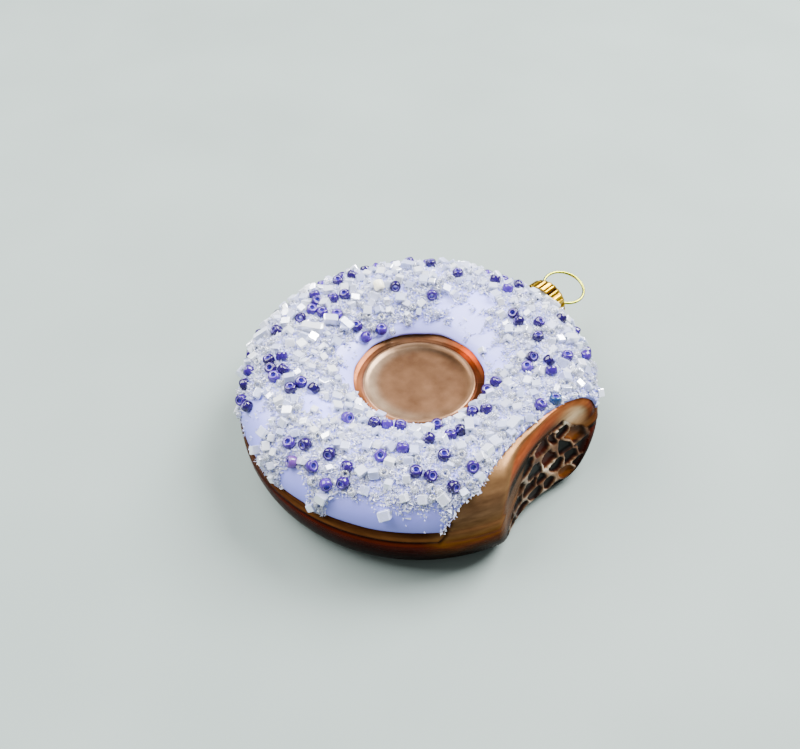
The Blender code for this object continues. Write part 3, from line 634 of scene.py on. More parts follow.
def make_icing():
    fine = np.radians(np.arange(-52.0, 42.0, 0.5))
    coarse = np.radians(np.arange(42.0, 308.0, 1.2))
    angles = np.concatenate([fine, coarse])
    dense, lengths = measured_curve()
    inner = np.array(inset_curve([tuple(point) for point in dense], ICING_SKIN))
    starts = ripple(angles, 21, (2, 5, 7, 11), 0.5 * MM) + 0.25 * MM
    reach = icing_reach(angles) + ripple(angles, 4, (41, 67), 0.12 * MM)
    crown = len(dense) // 2
    ends = np.interp(reach, dense[crown:, 0], lengths[crown:])
    ends = smooth_min(ends, lengths[-1] + ripple(angles, 5, (6, 11, 19, 27), 0.3 * MM) - 0.2 * MM,
                      0.5 * MM)
    shares = np.concatenate([np.linspace(0, 0.03, 4), np.linspace(0.06, 0.94, 46),
                             np.linspace(0.97, 1.0, 4)])
    points, from_shaded_edge = [], []
    for angle, start, end in zip(angles, starts, ends):
        along = start + (end - start) * shares
        outer = np.stack([np.interp(along, lengths, dense[:, axis]) for axis in (0, 1)], axis=1)
        under = np.stack([np.interp(along, lengths, inner[:, axis]) for axis in (0, 1)], axis=1)
        edge = np.minimum(along - along[0], along[-1] - along) / (0.9 * MM)
        round_off = (1 - np.sqrt(1 - (1 - np.clip(edge, 0, 1)) ** 2))[:, None]
        outer = outer + (under - outer) * 0.75 * round_off
        section = np.vstack([outer, under[::-6]])
        from_shaded_edge += [1 - (length - along[0]) / (along[-1] - along[0]) for length in along]
        from_shaded_edge += [0.5] * (len(section) - len(outer))
        points += [(radius * math.cos(angle), radius * math.sin(angle), height)
                   for radius, height in section]
    rows = len(points) // len(angles)
    # Brushed lacquer: an even satin lilac with a faint wide gloss, greyer towards its lower outer
    # edge as painted shade where it curves down. Its thickness changes over some 9 mm and the
    # brush left marks of 3.5 mm
    material, tree, shader = new_material(
        "lilac_lacquer", Roughness=0.36, IOR=1.48, Coat_Weight=0.25, Coat_Roughness=0.15)
    tint = colour_ramp(tree, ((0.3, "#a2a4fa"), (0.7, "#acaffe")), clouds(tree, 9 * MM))
    edge_shade = colour_ramp(tree, ((0.0, "#a4a7c8"), (0.1, "#cacce6"), (0.3, "#ffffff")),
                       stored(tree, "from_edge"))
    laid = multiplied(tree, tint.outputs["Color"], edge_shade.outputs["Color"])
    tree.links.new(laid, shader.inputs["Base Color"])
    roughen(tree, shader, clouds(tree, 3.5 * MM, 3.0), 0.15, 0.3 * MM)
    piece = add_piece("lilac_icing", points, grid_faces(len(angles), rows, True), material)
    paint(piece, "from_edge", from_shaded_edge)
    return piece


icing = make_icing()
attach(icing, "root")
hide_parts("icing_with_beads")

# The violet seed beads: drawn-glass beads of about 3 mm, cut from a tube and tumbled round, so
# each has its hole. They are clear violet, some deeper than others, and lie singly and in
# clusters. One is mauve and one is a greyer blue.
SEED_BEAD_RADIUS = 1.48 * MM
SEED_BEAD_LENGTH = 2.1 * MM
SEED_BEAD_HOLE = 0.4 * MM
SEED_BEAD_LIFT = 0.75 * MM
BEAD_SEED = 11
GAP = 0.3 * MM
# Degrees from +X and radius in mm
VIOLET_BEADS = (
    (180, 31), (-177, 36), (-174, 33.4), (-173, 26.4), (-169, 29.4), (-168, 32.3), (-161, 33),
    (174, 30), (-178, 43.6), (-177, 21.3), (-177, 18.3), (-168, 43.8), (-158, 44), (-152, 37),
    (-151, 44.9), (-136, 33.2), (-135, 36.2), (-130, 35.6), (-128, 32.6), (-125, 35),
    (-134, 41.2), (-129, 42), (-124, 43), (-119, 42), (-118, 29.3), (-116, 32), (-113, 27),
    (-94, 38.8), (-89, 37), (-89, 41), (-86, 25.6), (-82, 39.7), (-79, 36), (-75, 41.3),
    (-71, 37), (-70, 40), (-73, 22.8), (-66, 21.6), (-58, 20.8), (-61, 32.4), (-53, 29.4),
    (-47, 35.3), (-42, 36.3), (-41, 26.2), (-36, 31.8), (-35, 38.9), (-34, 20.5), (-30, 26),
    (-24, 25.3), (-27, 35.8), (-7, 20.2), (-1, 22.4), (14, 32.3), (20, 34.6), (20, 18.4),
    (28, 19.7), (35, 32), (41, 31.4), (37, 26.5), (44, 27.7), (45, 36), (49, 41), (57, 30.3),
    (60, 44.9), (66, 32.6), (67, 44), (68, 39.6), (71, 28.4), (77, 28.8), (92, 34.8),
    (92, 39.6), (97, 43.5), (102, 43.4), (108, 43.4), (100, 36.2), (116, 33.5), (125, 43.3),
    (126, 24.7), (129, 37.4), (131, 43.3), (138, 38.8), (143, 43.3), (147, 27.6), (150, 43.3),
    (154, 43.3), (163, 36.5), (163, 43.4), (167, 18.1), (170, 36.4), (171, 43.5),
)
MAUVE_BEAD, GREY_BLUE_BEAD = (-89, 41), (20, 34.6)


def polar(degrees, distance):
    angle = math.radians(degrees)
    return Vector((distance * math.cos(angle), distance * math.sin(angle), 0.0))


def on_icing(place, margin):
    """Whether a bead there lies on the icing, clear of the bite and of the neck."""
    centre = place.to_translation()
    for degrees, distance in ICING_BITES:
        axis = polar(degrees, distance)
        if math.hypot(centre.x - axis.x, centre.y - axis.y) < ICING_BITE_RADIUS + margin:
            return False
    from_neck = math.hypot(centre.x, centre.z - CREASE_HEIGHT)
    return centre.y < 0 or from_neck > NECK_RADIUS + GAP + margin


def far_enough(place, others, distance):
    centre = place.to_translation()
    return all((centre - other.to_translation()).length > distance for other in others)


def violet_places(surface):
    """Places of the violet beads, each sunk a little in the icing, with its entry above."""
    places = []
    for bead in VIOLET_BEADS:
        length = min(surface.length_at(bead[1] * MM), surface.lengths[-1] - 0.5 * MM)
        place = surface.frame(bead[0], length, SEED_BEAD_LIFT)
        if on_icing(place, SEED_BEAD_RADIUS / 2):
            places.append((bead, place))
    return places


def bead_tilt(draw, most):
    """A random turn about the normal after a random lean off it."""
    spin = Matrix.Rotation(draw.uniform(0.0, 2 * math.pi), 4, "Z")
    return spin @ Matrix.Rotation(math.radians(draw.uniform(0.0, most)), 4, "X")


def seed_bead(radius, length, hole, columns=18, rows=14):
    """A tumbled bead with its hole along Z: points, faces, and how far each is from the bore."""
    middle, half = (radius + hole) / 2, (radius - hole) / 2
    section = corner((middle, 0.0), (half, length / 2), 0, -360, rows, 2.5)[:-1]
    points = [(r * math.cos(2 * math.pi * column / columns),
               r * math.sin(2 * math.pi * column / columns), z)
              for column in range(columns) for r, z in section]
    mouth = [(r - hole) / (radius - hole) for column in range(columns) for r, z in section]
    return np.array(points), grid_faces(columns, rows, True), mouth


def many(name, shapes, places, tones, material, smooth=True):
    """One piece of many small shapes, each with a tone of its own for the material."""
    points, faces, shades, mouths, count = [], [], [], [], 0
    for index, place in enumerate(places):
        shape_points, shape_faces, mouth = shapes[index % len(shapes)]
        matrix = np.array(place)
        points.append(shape_points @ matrix[:3, :3].T + matrix[:3, 3])
        faces += [tuple(corner_index + count for corner_index in face) for face in shape_faces]
        shades += [tones[index]] * len(shape_points)
        mouths += mouth
        count += len(shape_points)
    piece = add_piece(name, np.vstack(points), faces, material, smooth)
    paint(piece, "tone", shades)
    paint(piece, "mouth", mouths)
    return piece


def bead_glass(name, tones, mouth, rim_shade, **values):
    """Coloured glass, from tone to tone by the bead, with painted shade at its rim and painted
    light and shade round the bore.
    """
    material, tree, shader = new_material(name, **values)
    body = colour_ramp(tree, tones, stored(tree, "tone"))
    slant = add_node(tree, "ShaderNodeLayerWeight", {"Blend": 0.5}).outputs["Facing"]
    edge = colour_ramp(tree, rim_shade, slant)
    body = add_node(tree, "ShaderNodeMix", {"data_type": "RGBA"}, Under=body.outputs["Color"],
                    Over=edge.outputs["Color"], Factor=edge.outputs["Alpha"])
    lining = colour_ramp(tree, mouth, stored(tree, "mouth"))
    seen = add_node(tree, "ShaderNodeMix", {"data_type": "RGBA"}, Under=body.outputs[2],
                    Over=lining.outputs["Color"], Factor=lining.outputs["Alpha"])
    tree.links.new(seen.outputs[2], shader.inputs["Base Color"])
    return material


surface = IcingSurface()
bead_draw = random.Random(BEAD_SEED)
violet_entries = violet_places(surface)
violet_spots = [place for bead, place in violet_entries]

# The square-cut white beads are placed here, before the violet ones are tilted, because one
# draw does both.
CUBE_BEAD_SIZE = 2.2 * MM
CUBE_BEAD_HOLE, CUBE_BEAD_BEVEL = 0.42 * MM, 0.18 * MM
CUBE_BEAD_LIFT = 0.85 * MM
CUBE_BEAD_COUNT = 68
CUBE_BEAD_MARGIN = 4.2 * MM
BEAD_SPACING = 2.7 * MM
CUBE_SPACING = 3.3 * MM
# Bare icing: degrees from +X, radius and half width in mm
BARE_PATCHES = (
    (91, 20, 6.0), (100, 26, 5.0), (128, 17, 4.0), (-147, 18, 4.5), (-111, 43, 4.0),
    (-102, 28, 3.0), (-84, 44, 4.0), (-62, 44, 3.5), (-48, 44, 4.5),
)


def cube_places(surface, draw, taken):
    """Square-cut beads, scattered evenly over the icing except on its bare patches."""
    places = []
    bare = [(polar(degrees, radius * MM), width * MM) for degrees, radius, width in BARE_PATCHES]
    for attempt in range(6000):
        degrees = draw.uniform(0.0, 360.0)
        length = draw.uniform(CUBE_BEAD_MARGIN, surface.lengths[-1] - CUBE_BEAD_MARGIN / 2)
        place = surface.frame(degrees, length, CUBE_BEAD_LIFT)
        centre = place.to_translation()
        radius = math.hypot(centre.x, centre.y)
        wanted = draw.random() < radius / BODY_RADIUS
        clear = all(math.hypot(centre.x - spot.x, centre.y - spot.y) > width
                    for spot, width in bare)
        if (wanted and clear and on_icing(place, CUBE_BEAD_SIZE * 0.7)
                and far_enough(place, taken, BEAD_SPACING)
                and far_enough(place, places, CUBE_SPACING)):
            places.append(place)
        if len(places) == CUBE_BEAD_COUNT:
            break
    return places


cube_spots = cube_places(surface, bead_draw, violet_spots)
violet_matrices = [place @ bead_tilt(bead_draw, 65) for place in violet_spots]
cube_matrices = []
for place in cube_spots:
    stretch = Matrix.Diagonal((bead_draw.uniform(0.9, 1.25), 1.0, 1.0, 1.0))
    cube_matrices.append(place @ bead_tilt(bead_draw, 22) @ stretch)

tone_draw = random.Random(5)
violet_tones = [{MAUVE_BEAD: 0.0, GREY_BLUE_BEAD: 1.0}.get(bead, tone_draw.uniform(0.08, 0.92))
                for bead, place in violet_entries]
# Polished clear glass: deep violet and sharply glossy, its rim darkened as painted shade, with a
# dark ring of painted shade and then a bright ring of painted highlight round the hole, and a
# bright lilac inside the bore as painted light
violet = many("violet_seed_beads",
              [seed_bead(SEED_BEAD_RADIUS, SEED_BEAD_LENGTH, SEED_BEAD_HOLE)],
              violet_matrices, violet_tones,
              bead_glass("violet_glass",
                         ((0.0, "#70409a"), (0.06, "#1a0448"), (0.4, "#2a0864"), (0.75, "#3a1480"),
                          (0.94, "#5a34aa"), (1.0, "#1c4070")),
                         ((0.0, "#8c78f4", 1.0), (0.07, "#5a40c0", 1.0), (0.13, "#14053c", 1.0),
                          (0.22, "#1c0850", 1.0), (0.29, "#a48ef4", 1.0), (0.4, "#6c4ed0", 0.4),
                          (0.52, "#4c2cb0", 0.0)),
                         ((0.45, "#16043c", 0.0), (0.8, "#10022c", 0.9)),
                         Roughness=0.04, IOR=1.52, Transmission_Weight=0.4))
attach(violet, "root")
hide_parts("icing_with_beads")

# The white beads: satin glass cut square from a tube, so a bright seam and a hole show in
# each. Smaller ones of the same cut fill in between, and a few are cut long, like bugles.
SMALL_CUBES = 210
VIOLET_CLEARANCE = 2.6 * MM
HIDING_REACH = 8 * MM               # what stands farther in front than this hides nothing
VIEW_DIRECTION, VIEW_ELEVATION = math.radians(-46), math.radians(46.4)
TOWARDS_VIEWER = np.array((math.cos(VIEW_ELEVATION) * math.cos(VIEW_DIRECTION),
                           math.cos(VIEW_ELEVATION) * math.sin(VIEW_DIRECTION),
                           math.sin(VIEW_ELEVATION)))
# Where the brushed icing stayed dry, so little stuck to it: degrees, radius, half width in mm
DRY_PATCHES = (
    (117, 23.6, 3.0), (105, 22.0, 3.6), (91, 21.2, 4.0), (76, 19.8, 3.6), (59, 19.6, 3.0),
    (82, 16.4, 3.0), (101, 17.2, 3.2), (46, 19.9, 2.4), (94, 27.2, 3.4), (101, 27.0, 2.8),
    (151, 16.7, 2.6), (133, 16.9, 3.0), (117, 17.0, 3.2), (166, 16.5, 2.4),
    (-152, 19.2, 2.8), (-146, 16.9, 2.6), (-124, 17.2, 2.4), (-165, 17.6, 2.4), (-133, 18.1, 2.6),
    (-174, 18.5, 2.2), (-153, 21.1, 2.4), (-118, 43.0, 3.2), (-112, 43.4, 3.2), (-106, 43.8, 3.0),
    (-117, 40.1, 2.6), (-110, 40.5, 2.8), (-108, 28.1, 2.4), (-101, 27.3, 2.4), (-96, 27.4, 2.2),
    (-103, 30.5, 2.2), (-88, 43.4, 2.6), (-84, 43.9, 2.8), (-82, 44.4, 2.2), (-71, 44.1, 2.6),
    (-67, 44.5, 3.4), (-62, 43.8, 3.2), (-57, 44.4, 3.0), (-52, 44.6, 3.0), (-47, 44.4, 2.8),
    (-42, 44.0, 2.8), (-136, 45.0, 3.0), (-143, 45.0, 2.6), (44, 45.0, 3.2), (36, 45.0, 2.6),
    (52, 45.0, 2.6),
)
# Long beads: degrees from +X, radius and length in mm, and degrees from +X of their own axis
LONG_BEADS = (
    (-156, 28.6, 5.2, 40), (-171, 23.0, 3.8, 9), (-167, 26.4, 3.6, 50), (-19, 25.6, 4.6, 134),
    (-150, 40.0, 4.4, 55), (-3, 31.0, 3.6, 100), (78, 41.2, 4.6, 44), (84, 38.6, 3.6, 100),
    (139, 35.0, 3.4, 20), (55, 38.2, 3.6, 70),
)


def square_bead(size, length, hole, bevel):
    """A square-cut bead with its hole along X: points, faces, and how far from the bore."""
    half = size / 2
    outline = []
    for quarter in range(4):
        for step in (20, 45, 70):
            angle = math.radians(step)
            y, z = half - bevel + bevel * math.cos(angle), half - bevel + bevel * math.sin(angle)
            turn = math.radians(90 * quarter)
            outline.append((y * math.cos(turn) - z * math.sin(turn),
                            y * math.sin(turn) + z * math.cos(turn)))
    bore = [(hole * math.cos(math.atan2(z, y)), hole * math.sin(math.atan2(z, y)))
            for y, z in outline]
    small = 1 - bevel / half
    rings = [(-length / 2, bore, 1.0, 0.0), (-length / 2, outline, small, 0.5),
             (-length / 2 + bevel, outline, 1.0, 1.0), (length / 2 - bevel, outline, 1.0, 1.0),
             (length / 2, outline, small, 0.5), (length / 2, bore, 1.0, 0.0)]
    points, mouth = [], []
    for index in range(len(outline)):
        for x, ring, scale, depth in rings:
            points.append((x, ring[index][0] * scale, ring[index][1] * scale))
            mouth.append(depth)
    return np.array(points), grid_faces(len(outline), len(rings), True), mouth


def hides_violet(centres, width):
    """Whether things there would stand in front of a violet bead, seen as in the photograph."""
    hidden = np.zeros(len(centres), dtype=bool)
    for place in violet_spots:
        offset = centres - np.array(place.to_translation())
        ahead = offset @ TOWARDS_VIEWER
        aside = np.linalg.norm(offset - ahead[:, None] * TOWARDS_VIEWER, axis=1)
        hidden |= (ahead > 0) & (ahead < HIDING_REACH) & (aside < width)
    return hidden


def hides_pan(centres, tops):
    """Whether things whose tops rise so far would stand before the pan, seen the same way."""
    back = (centres[:, 2] + tops - PAN_HEIGHT) / TOWARDS_VIEWER[2]
    seen = centres[:, :2] - back[:, None] * TOWARDS_VIEWER[:2]
    return np.hypot(seen[:, 0], seen[:, 1]) < PAN_RADIUS + 0.7 * MM


def strewn(draw, count, taken, apart, lift, margin, edges):
    """Extra places on the icing, each at a distance from those taken."""
    bare = [(polar(degrees, radius * MM), width * MM) for degrees, radius, width in DRY_PATCHES]
    cells = {}
    for other in taken:
        spot = other.to_translation()
        cells.setdefault(tuple(int(value // apart) for value in spot), []).append(spot)
    places = []
    violet_points = [other.to_translation() for other in violet_spots]
    for attempt in range(count * 40):
        degrees = draw.uniform(0.0, 360.0)
        length = draw.uniform(edges[0], surface.lengths[-1] - edges[1])
        place = surface.frame(degrees, length, lift * draw.uniform(0.8, 1.25))
        centre = place.to_translation()
        radius = math.hypot(centre.x, centre.y)
        if draw.random() > radius / BODY_RADIUS or not on_icing(place, margin):
            continue
        if any(math.hypot(centre.x - spot.x, centre.y - spot.y) < width * draw.uniform(0.8, 1.1)
               for spot, width in bare):
            continue
        key = tuple(int(value // apart) for value in centre)
        near = [spot for dx in (-1, 0, 1) for dy in (-1, 0, 1) for dz in (-1, 0, 1)
                for spot in cells.get((key[0] + dx, key[1] + dy, key[2] + dz), ())]
        if any((centre - spot).length < apart for spot in near):
            continue
        if any((centre - spot).length < VIOLET_CLEARANCE for spot in violet_points):
            continue
        spot = np.array([centre])
        if hides_violet(spot, 2.0 * MM)[0] or hides_pan(spot, 0.8 * MM)[0]:
            continue
        cells.setdefault(key, []).append(centre)
        places.append(place)
        if len(places) == count:
            break
    return places


long_spots, long_matrices = [], []
for degrees, radius, length, direction in LONG_BEADS:
    place = surface.frame(degrees, surface.length_at(radius * MM), 1.3 * MM)
    long_spots.append(place)
    long_matrices.append(place @ Matrix.Rotation(math.radians(direction - degrees), 4, "Z")
                         @ Matrix.Diagonal((length * MM / CUBE_BEAD_SIZE, 0.95, 0.95, 1.0)))
small_draw = random.Random(31)
small_spots = strewn(small_draw, SMALL_CUBES, violet_spots + cube_spots + long_spots,
                     apart=2.0 * MM, lift=0.6 * MM, margin=0.9 * MM, edges=(3.0 * MM, 1.4 * MM))
small_matrices = []
for place in small_spots:
    stretch = Matrix.Diagonal((small_draw.uniform(0.7, 1.3), 1.0, 1.0, 1.0))
    small_matrices.append(place @ bead_tilt(small_draw, 60) @ stretch
                          @ Matrix.Scale(small_draw.uniform(0.7, 0.95), 4))
white_matrices = cube_matrices + small_matrices + long_matrices
# Satin glass: milky white with a silky gloss, grey in the bore as painted shade, and a little
# lilac where it turns away as painted shade
white = many("white_square_beads",
             [square_bead(CUBE_BEAD_SIZE, CUBE_BEAD_SIZE, CUBE_BEAD_HOLE, CUBE_BEAD_BEVEL)],
             white_matrices, [tone_draw.random() for place in white_matrices],
             bead_glass("satin_white_glass",
                        ((0.0, "#c2caf4"), (0.5, "#d8def8"), (1.0, "#f8faff")),
                        ((0.0, "#a4acc0", 1.0), (0.3, "#e6ebf2", 0.5), (0.5, "#ffffff", 0.0)),
                        ((0.6, "#d8dcf4", 0.0), (1.0, "#c4c8ee", 0.5)),
                        Roughness=0.12, IOR=1.52, Transmission_Weight=0.45), smooth=False)
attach(white, "root")
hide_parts("icing_with_beads")

# The clear seed beads: the same tumbled beads in clear glass, a size smaller, which show as
# pale rings with a bright middle.
CLEAR_BEADS = 120
CLEAR_BEAD_RADIUS, CLEAR_BEAD_LENGTH, CLEAR_BEAD_HOLE = 1.1 * MM, 1.6 * MM, 0.35 * MM
# Clear beads that stand alone: degrees from +X and radius in mm
SINGLE_CLEAR_BEADS = ((113, 43.6), (159, 17.0), (-21, 36.0), (-66, 36.9), (-70.5, 38.4))
clear_draw = random.Random(47)
clear_spots = [surface.frame(degrees, surface.length_at(radius * MM), 0.9 * MM)
               for degrees, radius in SINGLE_CLEAR_BEADS]
clear_spots += strewn(clear_draw, CLEAR_BEADS,
                      violet_spots + cube_spots + small_spots + long_spots + clear_spots,
                      apart=1.8 * MM, lift=0.6 * MM, margin=1.0 * MM, edges=(3.0 * MM, 1.0 * MM))
clear_matrices = [place @ bead_tilt(clear_draw, 80)
                  @ Matrix.Scale(clear_draw.uniform(0.8, 1.1), 4) for place in clear_spots]
# Polished clear glass: the icing shows through, with a bright ring round the hole as a painted
# highlight, the bore grey as painted shade, and a greyer rim as painted shade
clear = many("clear_seed_beads",
             [seed_bead(CLEAR_BEAD_RADIUS, CLEAR_BEAD_LENGTH, CLEAR_BEAD_HOLE, 14, 10)],
             clear_matrices, [tone_draw.random() for place in clear_matrices],
             bead_glass("clear_glass", ((0.0, "#e8ecf8"), (1.0, "#fafcff")),
                        ((0.0, "#98a2c0", 1.0), (0.2, "#ffffff", 0.8), (0.5, "#ffffff", 0.0)),
                        ((0.4, "#c0c6dc", 0.0), (0.95, "#8088ac", 0.8)),
                        Roughness=0.04, IOR=1.52, Transmission_Weight=0.75))
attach(clear, "root")
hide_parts("icing_with_beads")

# The pearl bead: one cream bead of pearl-coated glass, drilled through, that lies among the
# white ones on the far side.
PEARL_RADIUS, PEARL_LENGTH, PEARL_HOLE = 1.45 * MM, 2.7 * MM, 0.3 * MM
pearl_place = surface.frame(156, surface.length_at(28.4 * MM), 1.5 * MM)
# Pearl coating: warm cream with a wide soft sheen under a thin clear coat, darker in the bore and
# at the rim as painted shade
pearl = many("cream_pearl_bead", [seed_bead(PEARL_RADIUS, PEARL_LENGTH, PEARL_HOLE, 24, 20)],
             [pearl_place @ Matrix.Rotation(math.radians(70), 4, "Y")], [0.5],
             bead_glass("cream_pearl_coating", ((0.0, "#f4efd8"), (1.0, "#f4efd8")),
                        ((0.0, "#b0a98c", 1.0), (0.2, "#f4efd8", 0.0)),
                        ((0.5, "#e2dcc0", 0.0), (1.0, "#cfc8aa", 0.8)),
                        Roughness=0.3, IOR=1.5, Coat_Weight=0.4, Coat_Roughness=0.1))
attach(pearl, "root")
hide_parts("icing_with_beads")

# The crushed glass: clear glass broken to splinters, mostly 0.5 to 1.5 mm long, strewn over
# the wet icing, which it makes look like sugar. It lies thin in some places and heaped in
# others.
SPLINTERS = 45000
SPLINTER_KINDS = 40
SPLINTER_SIZE = (0.26 * MM, 0.62 * MM)      # half the least and the largest, before stretching
SPLINTER_STRETCH = ((0.7, 2.1), (0.5, 1.0), (0.3, 0.8))     # length, width and thickness
HEAP_HEIGHT = 0.8 * MM
splinter_draw = np.random.default_rng(83)


def heaps(x, y):
    """Where the glass is heaped, from 0 to 1: slow bumps, 4 to 12 mm from one to the next."""
    total = np.zeros(np.shape(x))
    for wave in range(7):
        angle = 0.9 * wave + 0.3
        across = x * math.cos(angle) + y * math.sin(angle)
        total = total + np.sin(across * (2 * math.pi / ((4.0 + 1.3 * wave) * MM)) + 1.7 * wave)
    return np.clip(0.5 + total / 7, 0.0, 1.0)


def splinter_places(draw, count):
    """Centres of the splinters, thinned over the bare patches and cut off by the bite."""
    dense, lengths = measured_curve()
    along = draw.uniform(0.2 * MM, lengths[-1] + 0.2 * MM, count * 4)
    angle = draw.uniform(0.0, 2 * math.pi, count * 4)
    radius = np.interp(along, lengths, dense[:, 0])
    height = np.interp(along, lengths, dense[:, 1])
    slope_r = np.interp(along, lengths, np.gradient(dense[:, 0], lengths))
    slope_z = np.interp(along, lengths, np.gradient(dense[:, 1], lengths))
    x, y = radius * np.cos(angle), radius * np.sin(angle)
    keep = draw.random(count * 4) < radius / BODY_RADIUS
    keep &= draw.random(count * 4) < 0.55 + 0.6 * heaps(x, y)
    for degrees, distance in ICING_BITES:
        axis = polar(degrees, distance)
        keep &= np.hypot(x - axis.x, y - axis.y) > ICING_BITE_RADIUS + draw.uniform(
            -0.3 * MM, 0.5 * MM, count * 4)
    for degrees, distance, width in DRY_PATCHES:
        spot = polar(degrees, distance * MM)
        ragged = width * MM * draw.uniform(0.55, 1.2, count * 4)
        keep &= np.hypot(x - spot.x, y - spot.y) > ragged
    inner = 1.2 * MM + 1.4 * MM * heaps(y, x)
    keep &= along > inner
    keep &= (y < 0) | (np.hypot(x, height - CREASE_HEIGHT) > NECK_RADIUS + GAP)
    lift = 0.1 * MM + HEAP_HEIGHT * heaps(x, y) * draw.random(count * 4)
    for other in violet_spots:
        spot = other.to_translation()
        keep &= ((x - spot.x) ** 2 + (y - spot.y) ** 2 + (height - spot.z) ** 2
                 > (SEED_BEAD_RADIUS + 0.9 * lift) ** 2)
    keep &= ~hides_violet(np.stack([x, y, height + lift], axis=1), 1.4 * MM)
    keep &= ~hides_pan(np.stack([x, y, height + lift], axis=1), 0.0)
    chosen = np.flatnonzero(keep)[:count]
    lift *= smooth_step(lengths[-1] - along, -0.4 * MM, 2.5 * MM)
    radius = radius - lift * slope_z
    centres = np.stack([radius * np.cos(angle), radius * np.sin(angle), height + lift * slope_r],
                       axis=1)
    return centres[chosen]


def make_splinters(draw):
    """All the splinters: wedges with flat broken faces, each turned and stretched anyhow."""
    centres = splinter_places(draw, SPLINTERS)
    count = len(centres)
    wedge = np.array(((1.0, 0.0, -0.4), (-0.6, 0.8, -0.4), (-0.5, -0.9, -0.4), (0.0, 0.0, 0.9)))
    kinds = wedge + draw.uniform(-0.35, 0.35, (SPLINTER_KINDS, 4, 3))
    size = SPLINTER_SIZE[0] + (SPLINTER_SIZE[1] - SPLINTER_SIZE[0]) * draw.random(count) ** 3
    stretch = np.stack([draw.uniform(least, most, count) for least, most in SPLINTER_STRETCH],
                       axis=1) * size[:, None]
    spins = draw.normal(size=(count, 4))
    w, i, j, k = (spins / np.linalg.norm(spins, axis=1, keepdims=True)).T
    turns = np.array([[1 - 2 * (j * j + k * k), 2 * (i * j - k * w), 2 * (i * k + j * w)],
                      [2 * (i * j + k * w), 1 - 2 * (i * i + k * k), 2 * (j * k - i * w)],
                      [2 * (i * k - j * w), 2 * (j * k + i * w), 1 - 2 * (i * i + j * j)]])
    shapes = kinds[draw.integers(0, SPLINTER_KINDS, count)] * stretch[:, None, :]
    points = np.einsum("abn,ncb->nca", turns, shapes) + centres[:, None, :]
    sides = np.array(((0, 2, 1), (0, 1, 3), (1, 2, 3), (2, 0, 3)))
    faces = (sides[None] + 4 * np.arange(count)[:, None, None]).reshape(-1, 3)
    # Broken glass: flat glossy faces that glitter, on some splinters white and on others lilac
    piece = add_piece("crushed_glass", points.reshape(-1, 3), faces.tolist(),
                      bead_glass("crushed_clear_glass",
                                 ((0.0, "#bcc3f4"), (0.35, "#d8dcfa"), (1.0, "#f8faff")),
                                 ((0.0, "#ffffff", 0.0), (1.0, "#ffffff", 0.0)),
                                 ((0.0, "#ffffff", 0.0), (1.0, "#ffffff", 0.0)),
                                 Roughness=0.08, IOR=1.5, Transmission_Weight=0.35), smooth=False)
    paint(piece, "tone", np.repeat(draw.random(count), 4))
    return piece


crushed = make_splinters(splinter_draw)
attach(crushed, "root")
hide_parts("icing_with_beads")

# The cap: thin brass sheet pressed to a fluted cup with a pinked edge, lacquered gold. Its
# side has one open seam, and it is gripped on the neck by the wire inside it.
CAP_RADIUS = 6.3 * MM
CAP_SKIRT_EDGE = 48.2 * MM
CAP_TOP = 53.4 * MM
CAP_FLUTES = 24
FLUTE_DEPTH = 0.4 * MM
CAP_SLOT_TURN, CAP_SLOT_WIDTH = 24.0, 2.2   # degrees round the cap
CAP_SLOT_DEPTH = 0.6 * MM
PINKING = 0.5 * MM                  # depth of the notches in the lower edge
CAP_COLUMNS = 384


